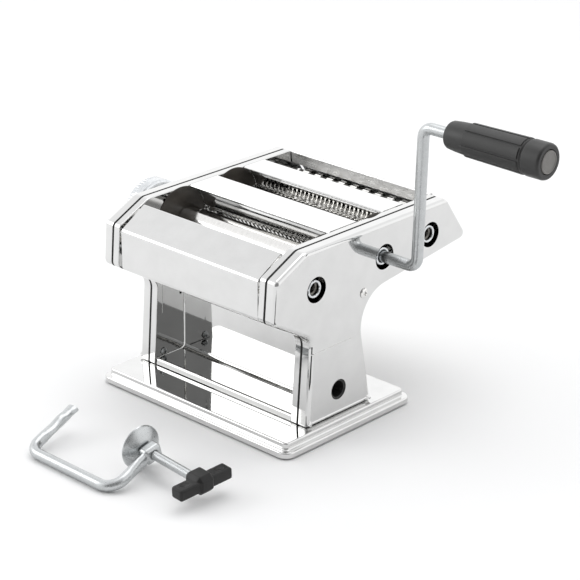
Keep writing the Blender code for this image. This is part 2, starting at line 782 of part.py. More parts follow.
def socket(name, parent):
    """The bright socket on a shaft's end, which takes the crank."""
    near = PLATE_OUTER + TOUCH_GAP
    far = COVER_OUTER - SOCKET_SUNK
    profile = tube_profile(near, far, SOCKET_RADIUS, SOCKET_BORE)
    turned(name, profile, "chromed_steel", parent, 20, closed=True)


# ---- crank --------------------------------------------------------------------------
def crank(shaft, grip_axis):
    """The bent rod, measured from the shaft that it plugs into, and its turning grip."""
    low = arc((CRANK_REACH_X - CRANK_BEND, CRANK_BEND), CRANK_BEND, -90, 0, CRANK_BEND_STEPS)
    top_centre = (CRANK_REACH_X + CRANK_LEAN + CRANK_BEND, CRANK_ARM - CRANK_BEND)
    high = arc(top_centre, CRANK_BEND, 180, 90, CRANK_BEND_STEPS)
    path = [(PLATE_OUTER + 0.0015, 0.0), *low, *high, (GRIP_FAR_X - 0.012, CRANK_ARM)]
    points = [(along, 0.0, up) for along, up in path]
    wire("crank_rod", points, CRANK_ROD, "zinc_steel", shaft)

    near, far = GRIP_NEAR_X, GRIP_FAR_X
    outer = [
        (far, 0.0122),
        (far - 0.0015, 0.0134),
        (far - 0.0150, 0.0137),
        (far - 0.0165, 0.0128),
        (far - 0.0185, 0.0135),
        (near + 0.0260, 0.0127),
        (near + 0.0220, 0.0119),
        (near + 0.0012, 0.0104),
        (near, 0.0094),
    ]
    cup = far - GRIP_CUP_DEPTH
    inner = [(near, GRIP_BORE), (cup, GRIP_BORE), (cup, GRIP_CUP), (far, GRIP_CUP)]
    profile = outer + inner
    grip = turned("crank_grip", profile, "black_plastic", grip_axis, GRIP_SIDES, closed=True)
    grip.modifiers["turned"].use_smooth_shade = False
    cap = [(far + 0.0006, 0.0058), (far - 0.0002, GRIP_CAP), (cup + 0.0004, GRIP_CAP)]
    turned("crank_grip_cap", rod_profile(cap), "grey_plastic", grip_axis, 20)


# ---- thickness dial -----------------------------------------------------------------
def dial(machine, axis):
    """The dial on the left, its shaft in the cover, and the collar behind it."""
    near, far = DIAL_NEAR_X, DIAL_FAR_X
    bore = DIAL_SHAFT + TOUCH_GAP
    shaft_ends = [(SHAFT_END_X - 2 * TOUCH_GAP, DIAL_SHAFT), (far + 0.0040, DIAL_SHAFT)]
    turned("dial_shaft", rod_profile(shaft_ends), "zinc_steel", axis, 16)
    sleeve = tube_profile(COLLAR_END, -COVER_OUTER - TOUCH_GAP, COLLAR_RADIUS, bore)
    collar = turned("dial_collar", sleeve, "chromed_steel", machine, 20, closed=True)
    collar.location = (0.0, ADJUST_Y, ADJUST_Z)
    profile = [
        (near, 0.0230),
        (near - 0.0012, DIAL_RADIUS - 0.0010),
        (near - 0.0030, DIAL_RADIUS),
        (far + 0.0030, DIAL_RADIUS - 0.0006),
        (far + 0.0008, DIAL_RADIUS - 0.0024),
        (far, 0.0200),
        (far, 0.0),
        (far + DIAL_POCKET, 0.0),
        (far + DIAL_POCKET, bore),
        (near, bore),
    ]
    turned("dial_knob", profile, "chromed_steel", axis, 28, closed=True)


# ---- table clamp --------------------------------------------------------------------
def clamp(frame_axis, screw_axis):
    """A bent bar with a flattened tip, and a screw through the eye at its other end."""
    corners = [
        (*CLAMP_TIP, 0), (CLAMP_NEAR_U, 0.0, CLAMP_BEND), (CLAMP_FAR_U + 0.003, 0.0, CLAMP_BEND),
        (*CLAMP_EYE, 0),
    ]
    points = [(u, v, 0.0) for u, v in rounded(corners, closed=False)]
    bar = wire("clamp_bar", points, CLAMP_ROD, "zinc_steel", frame_axis)
    eye = helper("clamp_eye", box_mesh("clamp_eye", EYE_SIZE, bevel=EYE_BEVEL), screw_axis)
    boolean(bar, eye, "UNION")
    tip = helper("clamp_tip", box_mesh("clamp_tip", TIP_SIZE, bevel=TIP_BEVEL), frame_axis)
    tip.location = (*CLAMP_TIP, 0.0)
    boolean(bar, tip, "UNION")
    hole = [(0.0, 0.0, SCREW_RADIUS + TOUCH_GAP)]
    boolean(bar, bores("clamp_thread", hole, -EYE_DRILL, EYE_DRILL, screw_axis))

    turned("clamp_pad", PAD_CUP, "zinc_steel", screw_axis, 28)
    screw = rod_profile([(SCREW_FAR_X, SCREW_RADIUS), (SCREW_NEAR_X, SCREW_RADIUS)])
    turned("clamp_screw", screw, "zinc_steel", screw_axis, 16)

    paddles = box_mesh("clamp_wing", WING_SIZE, (WING_X, 0.0, 0.0), WING_BEVEL)
    wing = node("clamp_wing", paddles, "black_plastic", screw_axis)
    wing.rotation_euler.x = WING_TURN
    hub_mesh = box_mesh("clamp_wing_hub", HUB_SIZE, (HUB_X, 0.0, 0.0), HUB_BEVEL)
    hub = helper("clamp_wing_hub", hub_mesh, screw_axis)
    hub.rotation_euler.x = WING_TURN
    boolean(wing, hub, "UNION")
    boolean(wing, bores("wing_bore", hole, *WING_BORE, screw_axis))


# ---- the whole set ------------------------------------------------------------------
def build():
    origin = empty("set_origin", None, SET_SHIFT)
    machine = empty("machine", origin)
    base_tray(machine)
    foot_pads(machine)
    side_plates(machine)
    side_covers(machine)
    cover_rivets(machine)
    leg_brackets(machine)
    clamp_sleeve(machine)
    sheets(machine)
    tie_rods(machine)
    strippers(machine)

    drive = empty("drive_axis", machine, (0.0, DRIVE_Y, DRIVE_Z))
    adjust = empty("adjust_axis", machine, (0.0, ADJUST_Y, ADJUST_Z))
    mid_drive = empty("mid_drive_axis", machine, (0.0, MID_Y, MID_Z))
    mid_driven = empty("mid_driven_axis", machine, (0.0, MID_Y + CUTTER_SPACING, MID_Z))
    rear_drive = empty("rear_drive_axis", machine, (0.0, REAR_Y, REAR_Z))
    rear_driven = empty("rear_driven_axis", machine, (0.0, REAR_Y + CUTTER_SPACING, REAR_Z))
    smooth_pair(drive, adjust)
    adjust_bushes(adjust)
    cutter_pair("narrow", NARROW_PITCH, NARROW_SIDES, mid_drive, mid_driven)
    cutter_pair("wide", WIDE_PITCH, WIDE_SIDES, rear_drive, rear_driven)
    socket("socket_front", drive)
    socket("socket_center", mid_drive)
    socket("socket_rear", rear_drive)
    dial(machine, adjust)

    grip_axis = empty("grip_axis", mid_drive, (0.0, 0.0, CRANK_ARM))
    crank(mid_drive, grip_axis)

    clamp_frame = empty("clamp_frame", origin, (0.0, CLAMP_BACK_Y, CLAMP_ROD), (CLAMP_TILT, 0.0, 0.0))
    screw_axis = empty("screw_axis", clamp_frame, (*CLAMP_EYE, 0.0), (0.0, 0.0, SCREW_LEAN))
    clamp(clamp_frame, screw_axis)


clear_scene()
SET = collection("pasta_machine")
CUTTERS = collection("cutters", helper=True)
build()
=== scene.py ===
"""The looks of a hand-cranked pasta machine and its table clamp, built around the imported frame.

Pieces are modelled round the machine's own middle, in metres, and then moved to where the
frame has it. X runs along the rollers towards the crank, and the front faces -Y.
"""

import json
import math

import bmesh
import bpy
from mathutils import Euler, Matrix, Vector


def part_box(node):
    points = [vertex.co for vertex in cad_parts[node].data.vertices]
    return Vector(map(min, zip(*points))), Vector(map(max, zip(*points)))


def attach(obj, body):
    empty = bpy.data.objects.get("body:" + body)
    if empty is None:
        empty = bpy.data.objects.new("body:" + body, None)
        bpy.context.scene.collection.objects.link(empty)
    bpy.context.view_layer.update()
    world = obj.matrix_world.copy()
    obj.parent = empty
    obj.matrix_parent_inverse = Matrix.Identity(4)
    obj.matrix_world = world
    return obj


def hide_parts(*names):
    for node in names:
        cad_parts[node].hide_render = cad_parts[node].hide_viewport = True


bl_info = {
    "name": "Pasta machine",
    "version": (1, 0, 0),
    "blender": (4, 5, 0),
    "location": "View3D > Sidebar > Pasta",
    "description": "Models a polished pasta machine and its clamp around a packed frame",
    "category": "Add Mesh",
}

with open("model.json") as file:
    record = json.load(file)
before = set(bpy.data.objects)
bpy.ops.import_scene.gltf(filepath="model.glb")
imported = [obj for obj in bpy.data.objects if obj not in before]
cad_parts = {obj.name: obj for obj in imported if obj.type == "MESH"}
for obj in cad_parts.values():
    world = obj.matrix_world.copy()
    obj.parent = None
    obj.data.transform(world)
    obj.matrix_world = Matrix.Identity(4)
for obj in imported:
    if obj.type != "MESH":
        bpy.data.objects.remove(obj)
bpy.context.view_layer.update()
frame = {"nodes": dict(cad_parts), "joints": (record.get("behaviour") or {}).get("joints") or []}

# ---- sizes taken from the frame -----------------------------------------------------
TRAY_LOW, TRAY_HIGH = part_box("base_tray")
MIDDLE = Vector(((TRAY_LOW.x + TRAY_HIGH.x) / 2, (TRAY_LOW.y + TRAY_HIGH.y) / 2, 0.0))


def own_box(node):
    """A node's lowest and highest corner, measured from the machine's middle."""
    low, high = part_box(node)
    return low - MIDDLE, high - MIDDLE


COVER_LOW, COVER_HIGH = own_box("side_cover_right")
PLATE_LOW, PLATE_HIGH = own_box("side_plate_right")
FASCIA_LOW, FASCIA_HIGH = own_box("fascia")
PANEL_HIGH = own_box("panel_center")[1]


def axis_of(joint):
    """Where a joint's axis crosses the machine's YZ plane."""
    found = next(one for one in frame["joints"] if one["name"] == joint)
    at = Vector(found["pos_m"]) - MIDDLE
    return at.y, at.z


DRIVE_AXIS = axis_of("smooth_drive_turn")
ADJUST_AXIS = axis_of("smooth_adjust_turn")
MID_AXIS = axis_of("mid_drive_turn")
MID_DRIVEN_AXIS = axis_of("mid_driven_turn")
REAR_AXIS = axis_of("rear_drive_turn")
REAR_DRIVEN_AXIS = axis_of("rear_driven_turn")
GRIP_AXIS = axis_of("handle_spin")

# ---- sizes of the sheet-metal work --------------------------------------------------
SHEET = 0.0012
ARC_STEPS = 10
CORNER = 0.009
LEDGE = 0.0048
HOUSING_FOOT_Z = PLATE_LOW.z
HOUSING_CORNERS = (
    # y, z, corner radius, going round from the front of the top edge
    (-0.0415, 0.1548, 0.010),
    (-0.0723, 0.1400, 0.005),
    (-0.0748, 0.1068, 0.006),
    (-0.0336, 0.0832, 0.012),
    (-0.0384, HOUSING_FOOT_Z, 0.0015),
    (0.0342, HOUSING_FOOT_Z, 0.0015),
    (0.0172, 0.1010, 0.0288),
    (0.1470, 0.1170, 0.005),
    (0.1200, 0.1548, 0.006),
)
CREASE_Z = 0.0716
CREASE_HALF = 0.0007
CREASE_SLOT = (0.0014, 0.0430, 0.0009)
CREASE_Y = -0.0120
BOLT_Y, BOLT_Z = -0.0286, 0.0211
GROOVE_HALF, GROOVE_DEPTH, GROOVE_TOP = 0.0007, 0.00035, 0.090
SEAM_GAP, SEAM_SETBACK, SEAM_STRIP = 0.0013, 0.0005, 0.0010
BELLY_SHEET = 0.0008
LEDGE_Z = 0.0062

# ---- holes, as radius or as y, z and radius -----------------------------------------
SOCKET_HOLE, SCREW_HOLE, DIAL_SHAFT_HOLE = 0.0102, 0.0023, 0.0053
CLAMP_HOLE = (-0.0034, 0.0335, 0.0082)
SIGHT_HOLES = ((-0.0250, 0.1490, 0.0014), (-0.0088, 0.0661, 0.0013))
SMOOTH_JOURNAL, CUTTER_JOURNAL, BUSH = 0.0060, 0.0050, 0.0088
JOURNAL_GAP = 0.0003
BUSH_SHIFTS = (0.0, -0.0006, -0.0012, -0.0019)
ROLLER_HALF = 0.0738

# ---- the two bowls that the hopper sheets curve round: centre and sheet radius ------
FRONT_BOWL, FRONT_BOWL_RADIUS = (-0.0070, 0.1300), 0.0263
MIDDLE_BOWL, MIDDLE_BOWL_RADIUS = (0.0516, 0.1302), 0.0270
CHEEK_FAR, CHEEK_NEAR = 0.00005, 0.00055

NEAR = 1e-6


# ---- properties ---------------------------------------------------------------------
class PastaSizes(bpy.types.PropertyGroup):
    """Sizes a maker would change, in metres."""

    shoulder: bpy.props.FloatProperty(
        name="Cover shoulder", description="Radius round the face of each side cover",
        default=0.0036, min=0.001, max=0.006, unit="LENGTH", precision=4,
    )
    rim: bpy.props.FloatProperty(
        name="Sheet edge", description="Radius of the deburred sheet edges",
        default=0.00028, min=0.0001, max=0.0005, unit="LENGTH", precision=5,
    )
    tray_round: bpy.props.FloatProperty(
        name="Tray rounding", description="Radius of the bends in the pressed base tray",
        default=0.0014, min=0.0005, max=0.002, unit="LENGTH", precision=4,
    )
    crease_depth: bpy.props.FloatProperty(
        name="Leg crease", description="How far the cover steps in across its leg",
        default=0.00045, min=0.0, max=0.001, unit="LENGTH", precision=5,
    )
    panel_rise: bpy.props.FloatProperty(
        name="Grip panels", description="Height of the raised panels on the crank's grip",
        default=0.0009, min=0.0003, max=0.0015, unit="LENGTH", precision=4,
    )
    thread_pitch: bpy.props.FloatProperty(
        name="Thread pitch", description="Pitch of the clamp's screw",
        default=0.00125, min=0.0008, max=0.002, unit="LENGTH", precision=5,
    )


class PastaFinishes(bpy.types.PropertyGroup):
    """Colours and polish of the finishes."""

    steel: bpy.props.FloatVectorProperty(
        name="Polished steel", description="Reflected colour of the stainless sheet",
        subtype="COLOR", size=3, default=(0.70, 0.70, 0.695), min=0.0, max=1.0,
    )
    steel_roughness: bpy.props.FloatProperty(
        name="Steel polish", description="Roughness of the polished sheet",
        default=0.035, min=0.0, max=0.5, subtype="FACTOR",
    )
    zinc: bpy.props.FloatVectorProperty(
        name="Zinc plate", description="Reflected colour of the plated clamp and crank",
        subtype="COLOR", size=3, default=(0.52, 0.535, 0.54), min=0.0, max=1.0,
    )
    plastic: bpy.props.FloatVectorProperty(
        name="Black plastic", description="Colour of the grip and the clamp's wing",
        subtype="COLOR", size=3, default=(0.017, 0.017, 0.0165), min=0.0, max=1.0,
    )


# ---- modelling helpers --------------------------------------------------------------
def edges_at(face_x):
    """A test for edges that lie wholly in the plane x = face_x."""
    return lambda edge: all(abs(vert.co.x - face_x) < NEAR for vert in edge.verts)


def deselect():
    if bpy.context.mode != "OBJECT":
        bpy.ops.object.mode_set(mode="OBJECT")
    bpy.ops.object.select_all(action="DESELECT")


def activate(piece):
    deselect()
    piece.select_set(True)
    bpy.context.view_layer.objects.active = piece


def edit(piece):
    activate(piece)
    bpy.ops.object.mode_set(mode="EDIT")


def object_mode():
    bpy.ops.object.mode_set(mode="OBJECT")


def pick(kind, test):
    """In edit mode, selects only the vertices, edges or faces that pass the test."""
    bpy.ops.mesh.select_mode(type=kind)
    bpy.ops.mesh.select_all(action="DESELECT")
    work = bmesh.from_edit_mesh(bpy.context.edit_object.data)
    parts = {"VERT": work.verts, "EDGE": work.edges, "FACE": work.faces}[kind]
    chosen = [part for part in parts if test(part)]
    if not chosen:
        raise RuntimeError(f"{bpy.context.edit_object.name}: nothing passes the test")
    for part in chosen:
        part.select_set(True)
    work.select_flush_mode()
    bmesh.update_edit_mesh(bpy.context.edit_object.data)


def pull(vector):
    bpy.ops.mesh.extrude_region_move(TRANSFORM_OT_translate={"value": vector})


def modify(piece, kind, **settings):
    """Adds a modifier with its settings and applies it."""
    activate(piece)
    modifier = piece.modifiers.new(kind.title(), kind)
    for name, value in settings.items():
        setattr(modifier, name, value)
    bpy.ops.object.modifier_apply(modifier=modifier.name)


def drawn(name, points):
    """A line through the points, made by extruding one vertex; it stays in edit mode."""
    deselect()
    bpy.ops.mesh.primitive_plane_add(size=0.001)
    piece = bpy.context.active_object
    piece.name = name
    piece.data.name = name
    bpy.ops.object.mode_set(mode="EDIT")
    bpy.ops.mesh.select_mode(type="VERT")
    bpy.ops.mesh.select_all(action="SELECT")
    bpy.ops.mesh.merge(type="CENTER")
    bpy.ops.transform.translate(value=points[0])
    for before, after in zip(points, points[1:]):
        pull(Vector(after) - Vector(before))
    return piece


def close_line():
    pick("VERT", lambda vert: len(vert.link_edges) == 1)
    bpy.ops.mesh.edge_face_add()


def wall(name, outline, along):
    """A closed outline pulled along a vector into a wall, in edit mode."""
    piece = drawn(name, outline)
    close_line()
    bpy.ops.mesh.select_all(action="SELECT")
    pull(along)
    return piece


def clean_up():
    """Merges doubles and turns every face outwards, in edit mode."""
    bpy.ops.mesh.select_all(action="SELECT")
    bpy.ops.mesh.remove_doubles(threshold=0.000002)
    bpy.ops.mesh.normals_make_consistent(inside=False)


def cut(piece, tool, operation="DIFFERENCE"):
    modify(piece, "BOOLEAN", operation=operation, solver="EXACT", object=tool)
    bpy.data.objects.remove(tool, do_unlink=True)


def drill(y, z, radius, low_x, high_x, sides=64):
    """A round cutter along X."""
    deselect()
    bpy.ops.mesh.primitive_cylinder_add(
        vertices=sides, radius=radius, depth=abs(high_x - low_x),
        location=((low_x + high_x) / 2, y, z), rotation=(0.0, math.pi / 2, 0.0),
    )
    return bpy.context.active_object


def block(name, size, centre=(0.0, 0.0, 0.0)):
    deselect()
    bpy.ops.mesh.primitive_cube_add(size=1.0, location=centre, scale=size)
    piece = bpy.context.active_object
    piece.name = name
    piece.data.name = name
    bpy.ops.object.transform_apply(location=True, rotation=True, scale=True)
    return piece


def soften(piece, width, segments=2, degrees=50.0):
    modify(
        piece, "BEVEL", width=width, segments=segments, limit_method="ANGLE",
        angle_limit=math.radians(degrees), use_clamp_overlap=True,
    )


def shade(piece, degrees=35.0):
    """Smooth over bends, flat over flats, so that a polished face mirrors cleanly."""
    activate(piece)
    bpy.ops.object.shade_smooth_by_angle(angle=math.radians(degrees))
    modify(piece, "WEIGHTED_NORMAL", mode="FACE_AREA", keep_sharp=True)


def finished(piece, finish, body, slot, *nodes, matrix=None):
    """Puts a piece in its place with its finish, on its body, for the nodes it stands for."""
    piece.matrix_world = Matrix.Translation(MIDDLE) @ (matrix or Matrix.Identity(4))
    activate(piece)
    bpy.ops.object.transform_apply(location=True, rotation=True, scale=True)
    piece.data.materials.clear()
    piece.data.materials.append(finish)
    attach(piece, body)
    if nodes:
        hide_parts(*nodes)
    return piece


def dress(finish, *nodes):
    """Gives CAD nodes whose shape is right a better finish."""
    for name in nodes:
        slots = frame["nodes"][name].material_slots
        if not slots:
            frame["nodes"][name].data.materials.append(finish)
        for one in slots:
            one.material = finish


# ---- outlines -----------------------------------------------------------------------
def arc(centre, radius, start, end, steps=ARC_STEPS):
    """Points on a circle from one angle in degrees to another."""
    found = []
    for i in range(steps + 1):
        angle = math.radians(start + (end - start) * i / steps)
        found.append((centre[0] + radius * math.cos(angle), centre[1] + radius * math.sin(angle)))
    return found


def fillet(before, corner, after, radius, steps):
    """The corner replaced by an arc that meets both of its sides."""
    here = Vector(corner)
    back = (Vector(before) - here).normalized()
    on = (Vector(after) - here).normalized()
    half = back.angle(on) / 2
    reach = radius / math.tan(half)
    centre = here + (back + on).normalized() * (radius / math.sin(half))
    first = here + back * reach - centre
    last = here + on * reach - centre
    turn = math.atan2(first.x * last.y - first.y * last.x, first.dot(last))
    found = []
    for i in range(steps + 1):
        found.append(tuple(centre + Matrix.Rotation(turn * i / steps, 2) @ first))
    return found


def rounded(corners, closed=True, steps=ARC_STEPS):
    """An outline from (a, b, radius) corners; a radius of 0 keeps the corner sharp."""
    found = []
    count = len(corners)
    for i, (a, b, radius) in enumerate(corners):
        end = not closed and i in (0, count - 1)
        if end or radius == 0:
            found.append((a, b))
            continue
        before = corners[i - 1][:2]
        after = corners[(i + 1) % count][:2]
        found.extend(fillet(before, (a, b), after, radius, steps))
    return found


# ---- shape makers -------------------------------------------------------------------
def folded_sheet(name, path, low_x, high_x, rim, thickness=SHEET):
    """Sheet metal bent along a path in Y and Z."""
    piece = drawn(name, [(low_x, y, z) for y, z in path])
    bpy.ops.mesh.select_all(action="SELECT")
    pull((high_x - low_x, 0.0, 0.0))
    object_mode()
    modify(piece, "SOLIDIFY", thickness=thickness, offset=0.0, use_even_offset=True)
    edit(piece)
    clean_up()
    object_mode()
    soften(piece, rim, 2, 60.0)
    shade(piece)
    return piece


def pan(name, outline, open_x, face_x):
    """The skin of a pressed pan: a wall from open_x and a face at face_x, in edit mode."""
    piece = wall(name, [(open_x, y, z) for y, z in outline], (face_x - open_x, 0.0, 0.0))
    pick("VERT", lambda vert: abs(vert.co.x - face_x) < NEAR)
    bpy.ops.mesh.edge_face_add()
    clean_up()
    return piece


def spun(name, profile, steps, centre=(0.0, 0.0), closed=False):
    """A lathe piece along X about (y, z); the profile is (x, radius)."""
    piece = drawn(name, [(x, centre[0], centre[1] + radius) for x, radius in profile])
    if closed:
        close_line()
    bpy.ops.mesh.select_all(action="SELECT")
    bpy.ops.mesh.spin(
        steps=steps, angle=math.tau, center=(0.0, *centre), axis=(1.0, 0.0, 0.0)
    )
    clean_up()
    object_mode()
    return piece


def solid(stations):
    """A lathe profile that closes onto the axis at both ends."""
    return [(stations[0][0], 0.0), *stations, (stations[-1][0], 0.0)]


def bar(name, points, radius, resolution=8):
    """A round bar swept along the points."""
    piece = drawn(name, points)
    object_mode()
    bpy.ops.object.convert(target="CURVE")
    curve = bpy.context.active_object
    curve.data.bevel_depth = radius
    curve.data.bevel_resolution = resolution
    curve.data.use_fill_caps = True
    bpy.ops.object.convert(target="MESH")
    piece = bpy.context.active_object
    piece.name = name
    edit(piece)
    clean_up()
    object_mode()
    return piece


# ---- finishes -----------------------------------------------------------------------
def linear(colour):
    """An sRGB hex colour as linear red, green, blue and alpha."""
    found = []
    for i in (0, 2, 4):
        value = int(colour[i:i + 2], 16) / 255
        found.append(value / 12.92 if value <= 0.04045 else ((value + 0.055) / 1.055) ** 2.4)
    return (*found, 1.0)


def add(tree, kind, inputs=None, **settings):
    """Adds one node, with its settings and its sockets' values or links."""
    node = tree.nodes.new(kind)
    for name, value in settings.items():
        setattr(node, name, value)
    for name, value in (inputs or {}).items():
        if isinstance(value, bpy.types.NodeSocket):
            tree.links.new(value, node.inputs[name])
        else:
            node.inputs[name].default_value = value
    return node


def blank(name, **constants):
    """A new material: its tree, its shader and the Object coordinates."""
    made = bpy.data.materials.new(name)
    made.use_nodes = True
    tree = made.node_tree
    shader = tree.nodes["Principled BSDF"]
    for socket, value in constants.items():
        shader.inputs[socket.replace("_", " ")].default_value = value
    place = add(tree, "ShaderNodeTexCoord").outputs["Object"]
    return made, tree, shader, place


def stretched(tree, place, scale):
    return add(tree, "ShaderNodeMapping", {"Vector": place, "Scale": scale}).outputs["Vector"]


def noise(tree, place, size_mm, detail=2.0, roughness=0.5):
    """Noise whose patches are about size_mm across."""
    made = add(
        tree, "ShaderNodeTexNoise",
        {"Vector": place, "Scale": 1000.0 / size_mm, "Detail": detail, "Roughness": roughness},
    )
    return made.outputs["Fac"]


def between(tree, factor, low, high):
    made = add(
        tree, "ShaderNodeMapRange",
        {"Value": factor, "From Min": 0.3, "From Max": 0.7, "To Min": low, "To Max": high},
    )
    return made.outputs["Result"]


def blended(tree, factor, first, second):
    made = add(tree, "ShaderNodeValToRGB", {"Fac": factor})
    made.color_ramp.elements[0].position = 0.3
    made.color_ramp.elements[0].color = first
    made.color_ramp.elements[1].position = 0.7
    made.color_ramp.elements[1].color = second
    return made.outputs["Color"]


def tint(tree, shader, factor, first, second):
    """Lets the base colour drift between two; a string is sRGB hex."""
    ends = [linear(end) if isinstance(end, str) else end for end in (first, second)]
    tree.links.new(blended(tree, factor, *ends), shader.inputs["Base Color"])


def roughen(tree, shader, factor, low, high):
    tree.links.new(between(tree, factor, low, high), shader.inputs["Roughness"])


def toned(colour, share):
    return (*[part * share for part in colour], 1.0)


def bumped(tree, shader, *layers):
    """Stacks bumps, each (height, depth in mm), coarse first."""
    normal = None
    for height, depth_mm in layers:
        inputs = {"Height": height, "Distance": depth_mm / 1000.0, "Strength": 1.0}
        if normal:
            inputs["Normal"] = normal
        normal = add(tree, "ShaderNodeBump", inputs).outputs["Normal"]
    tree.links.new(normal, shader.inputs["Normal"])


def polished_stainless(finishes, name="stainless_sheet_mirror_buffed", gain=1.0, dull=1.0):
    """Mirror-buffed stainless sheet: sharp reflections that swim a little, and faint haze."""
    made, tree, shader, place = blank(name, Metallic=1.0)
    steel = [part * gain for part in finishes.steel]
    haze = noise(tree, place, 14.0, 3.0)
    tint(tree, shader, haze, toned(steel, 0.97), toned(steel, 1.02))
    rubbed = noise(tree, stretched(tree, place, (0.15, 1.0, 1.0)), 1.2, 3.0)
    low = finishes.steel_roughness * dull
    roughen(tree, shader, rubbed, low * 0.8, low * 1.6)
    # Pressed sheet is never quite flat: swells about 40 mm across and up to 0.02 mm high.
    swell = noise(tree, place, 42.0, 1.0, 0.3)
    bumped(tree, shader, (swell, 0.020))
    return made


def bright_sheet(finishes):
    """The hopper sheets: the same stainless, buffed once more, so it throws back more light."""
    return polished_stainless(finishes, "stainless_sheet_colour_buffed", 1.20)


def satin_sheet(finishes):
    """The back guard's stainless: satin brushed, so what stands before it only shows as haze."""
    return polished_stainless(finishes, "stainless_sheet_satin_brushed", 1.12, 8.0)


def turned_steel(finishes):
    """Fine-turned roller steel: bright, with tool rings too fine to count."""
    made, tree, shader, place = blank("roller_steel_fine_turned", Metallic=1.0)
    streak = noise(tree, stretched(tree, place, (1.0, 0.12, 0.12)), 0.5, 3.0)
    tint(tree, shader, streak, "DEDDDB", "EEEDEB")
    roughen(tree, shader, streak, 0.09, 0.17)
    bumped(tree, shader, (streak, 0.004))
    return made


def bright_chrome(finishes):
    """Chrome plate over turned metal: hard bright mirror, with polish marks under it."""
    made, tree, shader, place = blank("chrome_plate_bright", Metallic=1.0)
    marks = noise(tree, stretched(tree, place, (1.0, 0.3, 0.3)), 0.9, 3.0)
    tint(tree, shader, marks, "CDD0D2", "E0E2E4")
    roughen(tree, shader, marks, 0.06, 0.13)
    bumped(tree, shader, (noise(tree, place, 6.0), 0.010))
    return made


def satin_zinc(finishes):
    """Bright zinc over drawn bar: soft sheen, faintly blue, cloudy from the plating bath."""
    made, tree, shader, place = blank("zinc_plate_satin", Metallic=1.0)
    cloud = noise(tree, place, 5.0, 4.0, 0.6)
    tint(tree, shader, cloud, toned(finishes.zinc, 0.95), toned(finishes.zinc, 1.05))
    grain = noise(tree, place, 0.8, 3.0)
    roughen(tree, shader, grain, 0.24, 0.36)
    bumped(tree, shader, (cloud, 0.02), (grain, 0.008))
    return made


def greased_gear_steel(finishes):
    """Sintered gear steel under grease: dark, with a broken wet sheen."""
    made, tree, shader, place = blank("gear_steel_sintered_greased", Metallic=1.0)
    smear = noise(tree, place, 2.5, 4.0, 0.6)
    tint(tree, shader, smear, "55534F", "8A8883")
    roughen(tree, shader, smear, 0.18, 0.50)
    bumped(tree, shader, (noise(tree, place, 0.5, 3.0), 0.03))
    return made


def black_moulded(finishes, name="abs_black_moulded_grained", index=1.53, gain=1.0):
    """Black ABS from a spark-eroded mould: a fine even grain that greys under soft light."""
    made, tree, shader, place = blank(name, IOR=index)
    plastic = [part * gain for part in finishes.plastic]
    patch = noise(tree, place, 9.0, 2.0)
    tint(tree, shader, patch, toned(plastic, 0.88), toned(plastic, 1.15))
    roughen(tree, shader, patch, 0.40, 0.50)
    # Grain 0.35 mm across: the real one is finer, and wouldn't show.
    bumped(tree, shader, (noise(tree, place, 0.35, 2.0), 0.012))
    return made


def wing_moulded(finishes):
    """The wing's deeper black: acetal full of carbon, which throws back less light than ABS."""
    return black_moulded(finishes, "acetal_black_carbon_filled", 1.42, 0.5)


def dark_moulding(finishes):
    """Dark brown-grey nylon: a satin moulding with faint flow marks."""
    made, tree, shader, place = blank("nylon_dark_moulded", IOR=1.53)
    flow = noise(tree, stretched(tree, place, (1.0, 0.3, 1.0)), 6.0, 3.0)
    tint(tree, shader, flow, "3C3833", "4B4640")
    roughen(tree, shader, flow, 0.30, 0.42)
    bumped(tree, shader, (noise(tree, place, 0.4, 2.0), 0.010))
    return made


def grey_moulded(finishes):
    """Grey ABS end cap: satin, with the same mould grain."""
    made, tree, shader, place = blank("abs_grey_moulded_satin", IOR=1.53)
    patch = noise(tree, place, 4.0, 2.0)
    tint(tree, shader, patch, "6E6C69", "787673")
    roughen(tree, shader, patch, 0.36, 0.46)
    bumped(tree, shader, (noise(tree, place, 0.4, 2.0), 0.010))
    return made


def white_acetal(finishes):
    """Off-white machined acetal: waxy, with faint cutter lines."""
    made, tree, shader, place = blank("acetal_white_machined", IOR=1.48)
    lines = noise(tree, stretched(tree, place, (0.2, 1.0, 1.0)), 0.7, 2.0)
    tint(tree, shader, lines, "D9D6CE", "E6E4DD")
    roughen(tree, shader, lines, 0.34, 0.46)
    bumped(tree, shader, (lines, 0.010))
    return made


def black_rubber(finishes):
    """Moulded rubber foot: dull black with a dusty bloom."""
    made, tree, shader, place = blank("rubber_black_moulded", IOR=1.52)
    bloom = noise(tree, place, 3.0, 4.0, 0.6)
    tint(tree, shader, bloom, "1B1B1B", "2A2A29")
    roughen(tree, shader, bloom, 0.72, 0.90)
    bumped(tree, shader, (noise(tree, place, 0.3, 2.0), 0.02))
    return made


FINISH_MAKERS = {
    "polished_steel": polished_stainless,
    "hopper_steel": bright_sheet,
    "guard_steel": satin_sheet,
    "turned_steel": turned_steel,
    "chromed_steel": bright_chrome,
    "zinc_steel": satin_zinc,
    "gear_steel": greased_gear_steel,
    "black_plastic": black_moulded,
    "dark_moulding": dark_moulding,
    "wing_plastic": wing_moulded,
    "grey_plastic": grey_moulded,
    "white_plastic": white_acetal,
    "black_rubber": black_rubber,
}
FINISHES = {}


def finish_for(slot):
    if slot not in FINISHES:
        FINISHES[slot] = FINISH_MAKERS[slot](bpy.context.scene.pasta_finishes)
    return FINISHES[slot]


